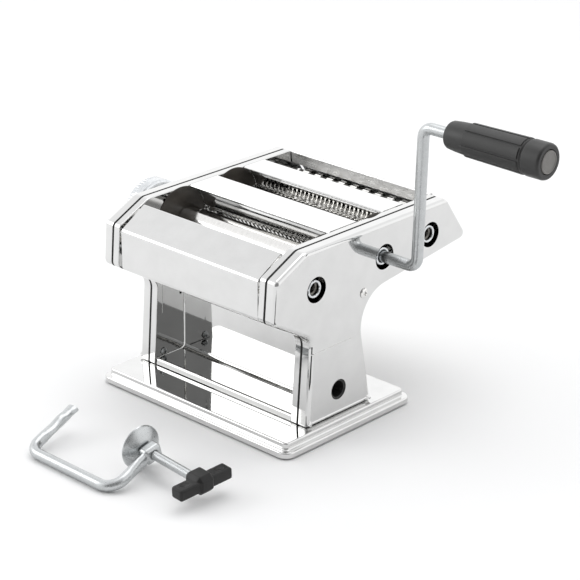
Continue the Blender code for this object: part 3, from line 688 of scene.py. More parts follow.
# ---- base ---------------------------------------------------------------------------
def base_tray(sizes):
    """The pressed tray: a skirt, a ledge and a raised top, with rolled bends."""
    half_x = (TRAY_HIGH.x - TRAY_LOW.x) / 2
    half_y = (TRAY_HIGH.y - TRAY_LOW.y) / 2
    skirt_z, top_z = TRAY_LOW.z, TRAY_HIGH.z
    corners = [(half_x, -half_y), (half_x, half_y), (-half_x, half_y), (-half_x, -half_y)]
    outline = rounded([(x, y, CORNER) for x, y in corners], steps=16)
    piece = wall(
        "base_tray_pressed", [(x, y, skirt_z) for x, y in outline], (0.0, 0.0, LEDGE_Z - skirt_z)
    )
    pick("VERT", lambda vert: abs(vert.co.z - LEDGE_Z) < NEAR)
    bpy.ops.mesh.edge_face_add()
    bpy.ops.mesh.inset(thickness=LEDGE, depth=0.0)
    pull((0.0, 0.0, top_z - LEDGE_Z))
    clean_up()
    for level in (LEDGE_Z, top_z):
        pick("EDGE", lambda edge, level=level: is_bend(edge, level))
        bpy.ops.mesh.bevel(offset=sizes.tray_round, segments=6, affect="EDGES")
    object_mode()
    modify(piece, "SOLIDIFY", thickness=SHEET, offset=-1.0, use_even_offset=True)
    soften(piece, sizes.rim, 2, 60.0)
    shade(piece)
    finished(piece, finish_for("polished_steel"), "frame", "polished_steel", "base_tray")


def is_bend(edge, level):
    """Whether an edge lies at a level where the sheet turns a corner."""
    flat = all(abs(vert.co.z - level) < NEAR for vert in edge.verts)
    return flat and len(edge.link_faces) == 2 and edge.calc_face_angle(0.0) > math.radians(60)


# ---- side housings ------------------------------------------------------------------
def crease_cover(piece, sign, sizes):
    """Steps the cover's face in across the leg, below a level crease."""
    face_x = sign * COVER_HIGH.x
    edit(piece)
    for z in (CREASE_Z - CREASE_HALF, CREASE_Z + CREASE_HALF):
        bpy.ops.mesh.select_all(action="SELECT")
        bpy.ops.mesh.bisect(plane_co=(0.0, 0.0, z), plane_no=(0.0, 0.0, 1.0))
    low = CREASE_Z - CREASE_HALF + 1e-5
    pick("VERT", lambda vert: abs(vert.co.x - face_x) < NEAR and vert.co.z < low)
    bpy.ops.transform.translate(value=(-sign * sizes.crease_depth, 0.0, 0.0))
    object_mode()


def side_cover(side, sign, holes, sizes):
    outline = rounded(HOUSING_CORNERS)
    open_x, face_x = sign * (COVER_LOW.x + SEAM_GAP), sign * COVER_HIGH.x
    piece = pan(f"side_cover_{side}_pressed", outline, open_x, face_x)
    pick("EDGE", edges_at(face_x))
    bpy.ops.mesh.bevel(offset=sizes.shoulder, segments=8, affect="EDGES")
    object_mode()
    crease_cover(piece, sign, sizes)
    modify(piece, "SOLIDIFY", thickness=SHEET, offset=-1.0, use_even_offset=True)
    for y, z, radius in holes:
        cut(piece, drill(y, z, radius, face_x - 0.004, face_x + 0.004))
    slot = block("crease", CREASE_SLOT)
    slot.location = (face_x - sign * sizes.crease_depth, CREASE_Y, CREASE_Z)
    cut(piece, slot)
    soften(piece, sizes.rim, 2, 60.0)
    shade(piece, 30.0)
    finished(
        piece, finish_for("polished_steel"), "frame", "polished_steel", f"side_cover_{side}"
    )


def seam_strip(side, sign):
    """The black strip that closes the seam between a cover and its inner plate."""
    outline = rounded(HOUSING_CORNERS)
    low_x, high_x = sign * (PLATE_HIGH.x - 0.0008), sign * (COVER_LOW.x + SEAM_GAP + 0.0009)
    points = [(low_x, y, z) for y, z in outline]
    piece = wall(f"seam_strip_{side}", points, (high_x - low_x, 0.0, 0.0))
    clean_up()
    bpy.ops.transform.shrink_fatten(value=-SEAM_SETBACK)
    object_mode()
    modify(piece, "SOLIDIFY", thickness=SEAM_STRIP, offset=-1.0, use_even_offset=True)
    shade(piece, 30.0)
    finished(piece, finish_for("black_rubber"), "frame", "black_rubber")


def cheek(side, sign, name, centre, radius, holes):
    """A dark moulded cheek that guards a hopper's end, inside the plate and behind the sheet."""
    low_x, high_x = sign * (PLATE_LOW.x - CHEEK_FAR), sign * (PLATE_LOW.x - CHEEK_NEAR)
    piece = drill(*centre, radius, low_x, high_x, 96)
    piece.name = f"{name}_cheek_{side}"
    piece.data.name = piece.name
    activate(piece)
    bpy.ops.object.transform_apply(location=True, rotation=True, scale=True)
    floor_z = centre[1] - 0.004
    low_cut = block("below", (0.01, 0.08, 0.06), (low_x, centre[0], floor_z - 0.030))
    cut(piece, low_cut)
    for y, z, hole in holes:
        cut(piece, drill(y, z, hole, low_x - 0.002, low_x + 0.002, 48))
    soften(piece, 0.0001, 1, 60.0)
    shade(piece, 30.0)
    finished(piece, finish_for("dark_moulding"), "frame", "black_plastic")


def cheeks(side, sign):
    """The cheeks of the front and the middle hopper, holed for what turns in them."""
    front = [(*DRIVE_AXIS, 0.0066)]
    for shift in (0.0, 0.001, 0.002):
        front.append((ADJUST_AXIS[0] - shift, ADJUST_AXIS[1], 0.0093))
    cheek(side, sign, "front", FRONT_BOWL, 0.0254, front)
    middle = [(*MID_AXIS, 0.0056), (*MID_DRIVEN_AXIS, 0.0056)]
    cheek(side, sign, "middle", MIDDLE_BOWL, 0.0261, middle)


def side_plate(side, sign):
    """The inner plate: a web that the rollers run in, and a flange turned outwards."""
    outline = rounded(HOUSING_CORNERS)
    open_x, web_x = sign * PLATE_HIGH.x, sign * PLATE_LOW.x
    piece = pan(f"side_plate_{side}_pressed", outline, open_x, web_x)
    pick("EDGE", edges_at(web_x))
    bpy.ops.mesh.bevel(offset=0.0008, segments=4, affect="EDGES")
    fold_lines(sign, web_x)
    object_mode()
    modify(piece, "SOLIDIFY", thickness=SHEET, offset=-1.0, use_even_offset=True)
    holes = [(*DRIVE_AXIS, SMOOTH_JOURNAL + JOURNAL_GAP), *SIGHT_HOLES]
    for axis in (MID_AXIS, MID_DRIVEN_AXIS, REAR_AXIS, REAR_DRIVEN_AXIS):
        holes.append((*axis, CUTTER_JOURNAL + JOURNAL_GAP))
    for shift in BUSH_SHIFTS:
        holes.append((ADJUST_AXIS[0] + shift, ADJUST_AXIS[1], BUSH + JOURNAL_GAP))
    for y, z, radius in holes:
        cut(piece, drill(y, z, radius, web_x - 0.004, web_x + 0.004, 48))
    shade(piece, 30.0)
    finished(
        piece, finish_for("polished_steel"), "frame", "polished_steel", f"side_plate_{side}"
    )


def fold_lines(sign, web_x):
    """Presses a shallow V groove up the leg's web and one across it, through the bolts."""
    upright = ((0.0, 1.0, 0.0), (0.0, BOLT_Y, 0.0))
    across = ((0.0, 0.0, 1.0), (0.0, 0.0, BOLT_Z))
    for along, place in (upright, across):
        for shift in (-GROOVE_HALF, 0.0, GROOVE_HALF):
            bpy.ops.mesh.select_all(action="SELECT")
            at = Vector(place) + Vector(along) * shift
            bpy.ops.mesh.bisect(plane_co=at, plane_no=along)
    pick("VERT", lambda vert: on_groove(vert.co, web_x))
    bpy.ops.transform.translate(value=(sign * GROOVE_DEPTH, 0.0, 0.0))


def on_groove(place, web_x):
    level = abs(place.x - web_x) < NEAR and place.z < GROOVE_TOP
    return level and (abs(place.y - BOLT_Y) < 1e-5 or abs(place.z - BOLT_Z) < 1e-5)


def screw_head(name, axis, face_x, sign, radius, height, body, slot, *nodes):
    """A low domed screw with a cross recess, its shank running back from face_x."""
    dome = [(face_x + sign * height * math.sin(a), radius * math.cos(a))
            for a in (math.radians(15 * i) for i in range(6))]
    shank_x, shank = face_x - sign * 0.006, radius * 0.48
    stations = [(dome[-1][0], 0.0), *reversed(dome), (face_x, shank), (shank_x, shank)]
    piece = spun(name, [*stations, (shank_x, 0.0)], 32, axis)
    deep, long, narrow = height * 1.2, radius * 0.95, radius * 0.22
    for size in ((deep, long, narrow), (deep, narrow, long)):
        cut(piece, block("recess", size, (face_x + sign * height * 0.95, *axis)))
    soften(piece, 0.00012, 2, 50.0)
    shade(piece, 40.0)
    finished(piece, finish_for(slot), body, slot, *nodes)


# ---- sheets between the housings ----------------------------------------------------
def sheets(sizes):
    half = PANEL_HIGH.x
    fascia = rounded(
        [
            (-0.0470, 0.1490, 0), (-0.0488, 0.1523, 0.0010), (-0.0730, 0.1377, 0.0035),
            (-0.0727, 0.1062, 0.0040), (-0.0585, 0.0982, 0),
        ],
        closed=False,
    )
    center = arc(FRONT_BOWL, FRONT_BOWL_RADIUS, 9, 66, 20)
    center += rounded(
        [(0.0040, 0.1544, 0), (0.0335, 0.1544, 0.0015), (0.0350, 0.1495, 0)], closed=False
    )
    rear = arc(MIDDLE_BOWL, MIDDLE_BOWL_RADIUS, 13.5, 62, 20)
    rear += rounded(
        [(0.0650, 0.1544, 0), (0.0873, 0.1544, 0.0015), (0.0888, 0.1495, 0)], closed=False
    )
    guard = rounded(
        [
            (0.1206, 0.1442, 0), (0.1198, 0.1544, 0.0010), (0.1226, 0.1539, 0.0010),
            (0.1451, 0.1205, 0.0030), (0.1380, 0.1166, 0),
        ],
        closed=False,
    )
    belly = rounded(
        [
            (-0.0040, 0.1010, 0), (-0.0050, 0.0172, 0.0040), (-0.0362, 0.0172, 0.0020),
            (-0.0370, 0.0127, 0),
        ],
        closed=False,
    )
    for name, path, low_x, high_x, thickness, finish in (
        ("fascia", fascia, FASCIA_LOW.x, FASCIA_HIGH.x, SHEET, "polished_steel"),
        ("panel_center", center, -half, half, SHEET, "hopper_steel"),
        ("panel_rear", rear, -half, half, SHEET, "hopper_steel"),
        ("back_guard", guard, -half, half, SHEET, "guard_steel"),
        ("belly_plate", belly, -half, half, BELLY_SHEET, "polished_steel"),
    ):
        piece = folded_sheet(f"{name}_folded", path, low_x, high_x, sizes.rim, thickness)
        finished(piece, finish_for(finish), "frame", "polished_steel", name)


# ---- rollers and cutters ------------------------------------------------------------
def smooth_roller(name, axis, body, node):
    low, high = own_box(node)
    half, radius, journal, ease = ROLLER_HALF, 0.0140, SMOOTH_JOURNAL, 0.0005
    profile = [
        (high.x, 0.0), (high.x, journal), (half, journal), (half, radius - ease),
        (half - ease, radius), (-half + ease, radius), (-half, radius - ease),
        (-half, journal), (low.x, journal), (low.x, 0.0),
    ]
    piece = spun(name, profile, 96, axis)
    shade(piece)
    finished(piece, finish_for("turned_steel"), body, "turned_steel", node)


def cutter(name, axis, body, node, pitch, offset):
    """A cutter barrel: discs a pitch apart, with a flat land and square flanks."""
    low, high = own_box(node)
    half, core, tip, journal = ROLLER_HALF, 0.0092, 0.0113, CUTTER_JOURNAL
    disc = pitch / 2 - 0.0003
    stations = [(high.x, journal), (half, journal), (half, core)]
    count = int((2 * half - disc - 0.002) / pitch)
    first = pitch * (count - 1) / 2 + offset
    for i in range(count):
        middle = first - i * pitch
        if abs(middle) + disc / 2 > half - 0.0005:
            continue
        for along, radius in ((1, core), (1, tip), (-1, tip), (-1, core)):
            stations.append((middle + along * disc / 2, radius))
    stations += [(-half, core), (-half, journal), (low.x, journal)]
    piece = spun(name, solid(stations), 48, axis)
    shade(piece, 40.0)
    finished(piece, finish_for("turned_steel"), body, "turned_steel", node)


def crank_socket(name, axis, body, node):
    """A bright drive socket with a chamfered mouth."""
    low, high = own_box(node)
    outer, bore, ease = 0.0072, 0.0050, 0.0006
    profile = [
        (low.x, outer), (low.x, bore), (high.x - ease, bore), (high.x, bore + ease),
        (high.x, outer - ease), (high.x - ease, outer),
    ]
    piece = spun(name, profile, 64, axis, closed=True)
    soften(piece, 0.00015, 2, 40.0)
    shade(piece, 30.0)
    finished(piece, finish_for("chromed_steel"), body, "chromed_steel", node)


def socket_lining(name, axis, body, node):
    """The dark, greased seat for the crank's end, inside a socket."""
    low, high = own_box(node)
    outer, seat, mouth = 0.0049, 0.0030, high.x - 0.0030
    profile = [
        (low.x + 0.0002, 0.0), (low.x + 0.0002, outer), (mouth, outer),
        (mouth - 0.0006, seat + 0.0009), (mouth - 0.0030, seat), (low.x + 0.0012, seat),
        (low.x + 0.0012, 0.0),
    ]
    piece = spun(name, profile, 48, axis)
    shade(piece, 30.0)
    finished(piece, finish_for("gear_steel"), body, "gear_steel")


# ---- crank --------------------------------------------------------------------------
def crank_rod():
    low, high = own_box("crank_rod")
    radius, bend, lean = 0.0045, 0.0085, 0.0020
    reach = 0.1240
    y, z = MID_AXIS
    arm = GRIP_AXIS[1] - z
    points = [(low.x, y, z)]
    for along, up in arc((reach - bend, bend), bend, -90, 0, 14):
        points.append((along, y, z + up))
    for along, up in arc((reach + lean + bend, arm - bend), bend, 180, 90, 14):
        points.append((along, y, z + up))
    points.append((high.x, y, z + arm))
    piece = bar("crank_rod_bent", points, radius, 10)
    soften(piece, 0.0005, 3, 70.0)
    shade(piece, 35.0)
    finished(piece, finish_for("zinc_steel"), "crank", "zinc_steel", "crank_rod")


def crank_grip(sizes):
    """A tapering moulded grip: smooth neck, eight raised panels, groove and end collar."""
    low, high = own_box("crank_grip")
    near, far = low.x, high.x
    bore, cup = 0.0051, 0.0091
    profile = [
        (near, bore), (near, 0.0092), (near + 0.0005, 0.0099), (near + 0.0016, 0.0105),
        (near + 0.0080, 0.0112), (near + 0.0170, 0.0118), (near + 0.0185, 0.0118),
        (far - 0.0185, 0.0126), (far - 0.0173, 0.0126), (far - 0.0167, 0.0119),
        (far - 0.0157, 0.0119), (far - 0.0151, 0.0131), (far - 0.0140, 0.0135),
        (far - 0.0022, 0.0135), (far - 0.0009, 0.0131), (far, 0.0122), (far, cup + 0.0004),
        (far - 0.0004, cup), (far - 0.0100, cup), (far - 0.0100, bore),
    ]
    steps, panels = 96, 8
    piece = spun("crank_grip_moulded", profile, steps, GRIP_AXIS, closed=True)
    edit(piece)
    start, end = near + 0.0185, far - 0.0185

    def on_panel(face):
        at = face.calc_center_median()
        out = Vector((0.0, at.y - GRIP_AXIS[0], at.z - GRIP_AXIS[1]))
        if not start < at.x < end or out.length < 0.009:
            return False
        turn = math.atan2(out.z, out.y) / math.tau * panels
        return 0.05 < turn % 1.0 < 0.95

    pick("FACE", on_panel)
    bpy.ops.mesh.extrude_region_shrink_fatten(
        TRANSFORM_OT_shrink_fatten={"value": sizes.panel_rise}
    )
    object_mode()
    soften(piece, 0.00035, 3, 40.0)
    shade(piece, 30.0)
    finished(
        piece, finish_for("black_plastic"), "crank_handle", "black_plastic", "crank_grip"
    )


def grip_cap():
    low, high = own_box("crank_grip_cap")
    far = high.x
    radius = 0.0087
    profile = [
        (far - 0.0006, 0.0), (far - 0.0006, radius - 0.0016), (far, radius - 0.0010),
        (far - 0.0003, radius - 0.0002), (far - 0.0010, radius), (low.x, radius), (low.x, 0.0),
    ]
    piece = spun("crank_grip_end_cap", profile, 72, GRIP_AXIS)
    soften(piece, 0.0002, 2, 40.0)
    shade(piece, 30.0)
    finished(
        piece, finish_for("grey_plastic"), "crank_handle", "grey_plastic", "crank_grip_cap"
    )


# ---- dial ---------------------------------------------------------------------------
def dial_knob():
    """The pull-out dial: a fluted rim, a dished face and a raised boss."""
    low, high = own_box("dial_knob")
    near, far = high.x, low.x
    rim, bore = 0.0265, 0.0053
    profile = [
        (near, bore), (near, rim - 0.0035), (near - 0.0012, rim - 0.0010), (near - 0.0024, rim),
        (far + 0.0024, rim), (far + 0.0010, rim - 0.0008), (far, rim - 0.0024),
        (far, rim - 0.0045), (far + 0.0012, rim - 0.0060), (far + 0.0012, 0.0105),
        (far + 0.0002, 0.0090), (far + 0.0002, 0.0), (far + 0.0036, 0.0), (far + 0.0036, bore),
    ]
    piece = spun("dial_knob_turned", profile, 120, ADJUST_AXIS, closed=True)
    flutes, reach = 60, rim + 0.0005
    tools = []
    for i in range(flutes):
        angle = math.tau * (i + 0.5) / flutes
        y = ADJUST_AXIS[0] + reach * math.cos(angle)
        z = ADJUST_AXIS[1] + reach * math.sin(angle)
        tools.append(drill(y, z, 0.0009, far - 0.002, far + 0.0062, 10))
    deselect()
    for tool in tools:
        tool.select_set(True)
    bpy.context.view_layer.objects.active = tools[0]
    bpy.ops.object.join()
    cut(piece, bpy.context.active_object)
    soften(piece, 0.0002, 2, 45.0)
    shade(piece, 30.0)
    finished(piece, finish_for("chromed_steel"), "dial", "chromed_steel", "dial_knob")


# ---- clamp --------------------------------------------------------------------------
CLAMP_BACK_Y, CLAMP_ROD = -0.1950, 0.0043
CLAMP_TILT = math.radians(16.5)
CLAMP_LEAN = math.radians(-4.5)
CLAMP_NEAR_U, CLAMP_FAR_U = -0.0435, 0.0445
CLAMP_TIP, CLAMP_EYE = (-0.0510, 0.0520), (0.0420, 0.0445)
CLAMP_BEND = 0.012
CLAMP_ORIGIN = Matrix.Translation((0.0, CLAMP_BACK_Y, CLAMP_ROD))
CLAMP_PLACE = CLAMP_ORIGIN @ Matrix.Rotation(CLAMP_TILT, 4, "X")
EYE_PLACE = Matrix.Translation((*CLAMP_EYE, 0.0)) @ Matrix.Rotation(CLAMP_LEAN, 4, "Z")
SCREW_PLACE = CLAMP_PLACE @ EYE_PLACE
SCREW_RADIUS = 0.0036
THREAD_DEPTH = 0.00028
WING_TURN = math.radians(-13.0)
WING_X, WING_DEPTH, WING_LENGTH, WING_HEIGHT = 0.0580, 0.0128, 0.0480, 0.0108
RECESS_Y, RECESS_SIZE = 0.0160, (0.0040, 0.0058, 0.0024)
HUB_X, HUB_SIZE = 0.0557, (0.0185, 0.0166, 0.0150)


def clamp_bar():
    """A bent plated bar with a crimped tip and a flattened eye that carries the screw."""
    corners = [
        (*CLAMP_TIP, 0), (CLAMP_NEAR_U, 0.0, CLAMP_BEND), (CLAMP_FAR_U + 0.003, 0.0, CLAMP_BEND),
        (*CLAMP_EYE, 0),
    ]
    path = rounded(corners, closed=False, steps=16)
    tip_steps = 16
    tip = [Vector(path[0]).lerp(Vector(path[1]), i / tip_steps) for i in range(tip_steps)]
    eye = [Vector(path[-2]).lerp(Vector(path[-1]), (i + 1) / tip_steps) for i in range(tip_steps)]
    points = [(*place, 0.0) for place in tip]
    points += [(u, v, 0.0) for u, v in path[1:-1]]
    points += [(*place, 0.0) for place in eye]
    piece = bar("clamp_bar_bent", points, CLAMP_ROD, 10)
    edit(piece)
    crimp(Vector((*CLAMP_TIP, 0.0)), 0.0, 0.013, 0.66, 1.22)
    crimp(Vector((*CLAMP_TIP, 0.0)), 0.017, 0.034, 0.72, 1.12)
    crimp(Vector((*CLAMP_EYE, 0.0)), 0.0, 0.024, 1.25, 0.74)
    object_mode()
    hub = block("eye", (0.0095, 0.0150, 0.0130))
    soften(hub, 0.0028, 4)
    hub.matrix_world = EYE_PLACE
    cut(piece, hub, "UNION")
    hole = drill(0.0, 0.0, SCREW_RADIUS + 0.0003, -0.012, 0.012, 48)
    hole.matrix_world = EYE_PLACE @ hole.matrix_world
    cut(piece, hole)
    soften(piece, 0.0004, 3, 60.0)
    shade(piece, 40.0)
    finished(
        piece, finish_for("zinc_steel"), "table_clamp", "zinc_steel", "clamp_bar",
        matrix=CLAMP_PLACE,
    )


def crimp(end, start, stop, thin, wide):
    """Squeezes a stretch of bar between two distances from its end, easing in and out."""
    slices = 8
    for i in range(slices):
        low = start + (stop - start) * i / slices
        high = start + (stop - start) * (i + 1) / slices
        share = 1.0 - (i / slices) ** 3
        if start > 0:
            share = math.sin(math.pi * (i + 0.5) / slices) ** 0.5
        squeeze = (1.0 + (wide - 1.0) * share, 1.0, 1.0 + (thin - 1.0) * share)
        work = bmesh.from_edit_mesh(bpy.context.edit_object.data)
        ring = [
            vert for vert in work.verts
            if low - NEAR <= abs(vert.co.y - end.y) < high and abs(vert.co.x - end.x) < 0.02
        ]
        if not ring:
            continue
        middle = sum((vert.co for vert in ring), Vector()) / len(ring)
        names = {vert.index for vert in ring}
        pick("VERT", lambda vert, names=names: vert.index in names)
        bpy.ops.transform.resize(value=squeeze, center_override=middle)


def clamp_foot():
    """The dished foot that presses on the table's underside."""
    profile = [
        (-0.0060, 0.0), (-0.0060, 0.0058), (-0.0064, 0.0074), (-0.0076, 0.0104), (-0.0092, 0.0138),
        (-0.0106, 0.0162), (-0.0112, 0.0168), (-0.0120, 0.0170), (-0.0126, 0.0166),
        (-0.0122, 0.0156), (-0.0104, 0.0118), (-0.0097, 0.0092), (-0.0096, 0.0),
    ]
    piece = spun("clamp_foot_dished", profile, 72)
    shade(piece, 40.0)
    finished(
        piece, finish_for("zinc_steel"), "clamp_foot", "zinc_steel", "clamp_pad",
        matrix=SCREW_PLACE,
    )


def clamp_screw(sizes):
    """The screw: a helical thread wound over a plain core."""
    low_x, high_x = -0.0057, 0.0560
    pitch = sizes.thread_pitch
    turns = int((high_x - low_x - 0.002) / pitch)
    start_x = low_x + 0.001
    crest = SCREW_RADIUS
    root = crest - THREAD_DEPTH
    flank = [
        (start_x, crest), (start_x + pitch * 0.2, crest), (start_x + pitch * 0.5, root),
        (start_x + pitch * 0.7, root), (start_x + pitch, crest),
    ]
    piece = drawn("clamp_screw_threaded", [(x, 0.0, radius) for x, radius in flank])
    object_mode()
    modify(
        piece, "SCREW", axis="X", angle=math.tau, steps=24, render_steps=24, iterations=turns,
        screw_offset=pitch, use_merge_vertices=True, merge_threshold=0.00001,
        use_normal_calculate=True,
    )
    edit(piece)
    clean_up()
    object_mode()
    inner, ease = crest - 0.0002, 0.0004
    stations = [
        (high_x, inner - ease), (high_x - ease, inner), (low_x + ease, inner), (low_x, inner - ease),
    ]
    core = spun("screw_core", solid(stations), 48)
    deselect()
    core.select_set(True)
    piece.select_set(True)
    bpy.context.view_layer.objects.active = piece
    bpy.ops.object.join()
    shade(piece, 50.0)
    finished(
        piece, finish_for("zinc_steel"), "clamp_spindle", "zinc_steel", "clamp_screw",
        matrix=SCREW_PLACE,
    )


def clamp_wing():
    """A moulded two-wing knob: a chamfered hub and two paddles with a dished recess."""
    middle = (WING_X, 0.0, 0.0)
    piece = block("clamp_wing_moulded", (WING_DEPTH, WING_LENGTH, WING_HEIGHT), middle)
    for sign in (-1.0, 1.0):
        edit(piece)
        pick("FACE", lambda face, sign=sign: face.normal.y * sign > 0.9)
        bpy.ops.transform.resize(value=(0.88, 1.0, 0.84), center_override=middle)
        object_mode()
    soften(piece, 0.0018, 3, 50.0)
    for sign in (-1.0, 1.0):
        for side in (-1.0, 1.0):
            deselect()
            bpy.ops.mesh.primitive_uv_sphere_add(
                segments=32, ring_count=16, radius=1.0,
                location=(WING_X, sign * RECESS_Y, side * (WING_HEIGHT / 2 + 0.0008)),
                scale=RECESS_SIZE,
            )
            cut(piece, bpy.context.active_object)
    hub = block("hub", HUB_SIZE, (HUB_X, 0.0, 0.0))
    soften(hub, 0.0036, 1, 50.0)
    soften(hub, 0.0006, 3, 20.0)
    cut(piece, hub, "UNION")
    cut(piece, drill(0.0, 0.0, SCREW_RADIUS + 0.0003, 0.040, 0.0565, 32))
    soften(piece, 0.0004, 2, 35.0)
    shade(piece, 30.0)
    finished(
        piece, finish_for("wing_plastic"), "clamp_spindle", "black_plastic", "clamp_wing",
        matrix=SCREW_PLACE @ Matrix.Rotation(WING_TURN, 4, "X"),
    )


# ---- operators ----------------------------------------------------------------------
class PASTA_OT_base(bpy.types.Operator):
    """Models the pressed base tray"""

    bl_idname = "pasta.base"
    bl_label = "Base tray"

    def execute(self, context):
        base_tray(context.scene.pasta_sizes)
        dress(finish_for("black_rubber"), *[name for name in frame["nodes"] if "foot_pad" in name])
        return {"FINISHED"}


class PASTA_OT_housings(bpy.types.Operator):
    """Models the side covers, the inner plates and their screws"""

    bl_idname = "pasta.housings"
    bl_label = "Side housings"

    def execute(self, context):
        sizes = context.scene.pasta_sizes
        rivet_low, rivet_high = own_box("cover_rivet_right")
        rivet = ((rivet_low.y + rivet_high.y) / 2, (rivet_low.z + rivet_high.z) / 2)
        right = [(*axis, SOCKET_HOLE) for axis in (DRIVE_AXIS, MID_AXIS, REAR_AXIS)]
        right += [CLAMP_HOLE, (*rivet, SCREW_HOLE)]
        left = [(*ADJUST_AXIS, DIAL_SHAFT_HOLE), (*rivet, SCREW_HOLE)]
        for side, sign, holes in (("right", 1.0, right), ("left", -1.0, left)):
            side_cover(side, sign, holes, sizes)
            side_plate(side, sign)
            seam_strip(side, sign)
            cheeks(side, sign)
            screw_head(
                f"cover_screw_{side}", rivet, sign * (COVER_HIGH.x + 0.0002), sign, 0.0040, 0.0015,
                "frame", "turned_steel", f"cover_rivet_{side}",
            )
            for end in ("front", "rear"):
                low, high = own_box(f"leg_bolt_{side}_{end}")
                axis = ((low.y + high.y) / 2, (low.z + high.z) / 2)
                screw_head(
                    f"leg_screw_{side}_{end}", axis, sign * (PLATE_LOW.x - 0.0003), -sign, 0.0030,
                    0.0020, "frame", "zinc_steel", f"leg_bolt_{side}_{end}",
                )
        dress(finish_for("zinc_steel"), "leg_bracket_left", "leg_bracket_right")
        dress(finish_for("black_plastic"), "clamp_sleeve")
        return {"FINISHED"}


class PASTA_OT_sheets(bpy.types.Operator):
    """Models the fascia, the top panels, the guard and the belly plate"""

    bl_idname = "pasta.sheets"
    bl_label = "Sheet metal"

    def execute(self, context):
        sheets(context.scene.pasta_sizes)
        dress(finish_for("zinc_steel"), "tie_rod_front", "tie_rod_rear")
        return {"FINISHED"}


class PASTA_OT_rollers(bpy.types.Operator):
    """Models the smooth rollers, the cutters and their sockets"""

    bl_idname = "pasta.rollers"
    bl_label = "Rollers and cutters"

    def execute(self, context):
        smooth_roller("smooth_roller_front", DRIVE_AXIS, "smooth_drive", "roller_drive")
        smooth_roller("smooth_roller_rear", ADJUST_AXIS, "smooth_adjust", "roller_adjust")
        for kind, station, pitch, axes in (
            ("narrow", "mid", 0.0044, (MID_AXIS, MID_DRIVEN_AXIS)),
            ("wide", "rear", 0.0130, (REAR_AXIS, REAR_DRIVEN_AXIS)),
        ):
            for end, axis, offset in zip(("drive", "driven"), axes, (-pitch / 4, pitch / 4)):
                cutter(
                    f"cutter_{kind}_{end}_milled", axis, f"{station}_{end}", f"cutter_{kind}_{end}",
                    pitch, offset,
                )
        for place, axis, body in (
            ("front", DRIVE_AXIS, "smooth_drive"), ("center", MID_AXIS, "mid_drive"),
            ("rear", REAR_AXIS, "rear_drive"),
        ):
            crank_socket(f"crank_socket_{place}", axis, body, f"socket_{place}")
            if place != "center":
                socket_lining(f"socket_lining_{place}", axis, body, f"socket_{place}")
        dress(finish_for("gear_steel"), *[name for name in frame["nodes"] if name.startswith("gear_")])
        white = ("adjust_bush", "scraper", "comb")
        dress(finish_for("white_plastic"), *[name for name in frame["nodes"] if name.startswith(white)])
        return {"FINISHED"}


class PASTA_OT_crank(bpy.types.Operator):
    """Models the crank and its grip"""

    bl_idname = "pasta.crank"
    bl_label = "Crank"

    def execute(self, context):
        crank_rod()
        crank_grip(context.scene.pasta_sizes)
        grip_cap()
        return {"FINISHED"}


class PASTA_OT_dial(bpy.types.Operator):
    """Models the thickness dial"""

    bl_idname = "pasta.dial"
    bl_label = "Thickness dial"

    def execute(self, context):
        dial_knob()
        dress(finish_for("zinc_steel"), "dial_shaft")
        dress(finish_for("chromed_steel"), "dial_collar")
        return {"FINISHED"}


class PASTA_OT_clamp(bpy.types.Operator):
    """Models the table clamp"""

    bl_idname = "pasta.clamp"
    bl_label = "Table clamp"

    def execute(self, context):
        clamp_bar()
        clamp_foot()
        clamp_screw(context.scene.pasta_sizes)
        clamp_wing()
        return {"FINISHED"}


CAMERA_PLACE = (0.9737, -1.0373, 0.7089)
CAMERA_TURN = (67.258, -0.386, 43.266)
CAMERA_LENS, CAMERA_SENSOR = 128.4, 36.0
SOFTBOXES = (
    # name, place, aimed at, width, depth, power in watts
    ("softbox_over", (-0.20, 0.35, 1.50), (0.0, 0.0, 0.05), 1.2, 0.9, 5.0),
    ("softbox_left", (-1.20, -0.90, 0.80), (-0.05, -0.10, 0.0), 0.8, 0.8, 4.0),
)
DARK_SIDE = (0.66, -0.70, 0.28)


def softbox(name, place, aim, width, depth, power):
    light = bpy.data.lights.new(name, "AREA")
    light.shape = "RECTANGLE"
    light.size = width
    light.size_y = depth
    light.energy = power
    lamp = bpy.data.objects.new(name, light)
    bpy.context.scene.collection.objects.link(lamp)
    lamp.location = place
    lamp.rotation_euler = (Vector(aim) - Vector(place)).to_track_quat("-Z", "Y").to_euler()


def room():
    """Soft light from all round, brightest at the back, with a dim side behind the camera."""
    world = bpy.data.worlds.new("white_room")
    world.use_nodes = True
    bpy.context.scene.world = world
    tree = world.node_tree
    tree.nodes.clear()
    way = add(tree, "ShaderNodeTexCoord").outputs["Generated"]
    height = add(tree, "ShaderNodeSeparateXYZ", {"Vector": way}).outputs["Z"]
    ramp = add(tree, "ShaderNodeValToRGB", {"Fac": height})
    ramp.color_ramp.elements[0].position = 0.0
    ramp.color_ramp.elements[0].color = (1.25, 1.25, 1.25, 1.0)
    ramp.color_ramp.elements[1].position = 1.0
    ramp.color_ramp.elements[1].color = (0.85, 0.85, 0.86, 1.0)
    middle = ramp.color_ramp.elements.new(0.5)
    middle.color = (1.30, 1.305, 1.31, 1.0)
    facing = add(tree, "ShaderNodeVectorMath", {0: way, 1: DARK_SIDE}, operation="DOT_PRODUCT")
    dimmed = add(
        tree, "ShaderNodeMapRange",
        {
            "Value": facing.outputs["Value"], "From Min": 0.55, "From Max": 0.85,
            "To Min": 1.0, "To Max": 0.25,
        },
        interpolation_type="SMOOTHSTEP",
    )
    light = add(
        tree, "ShaderNodeBackground",
        {"Color": ramp.outputs["Color"], "Strength": dimmed.outputs["Result"]},
    )
    add(tree, "ShaderNodeOutputWorld", {"Surface": light.outputs["Background"]})


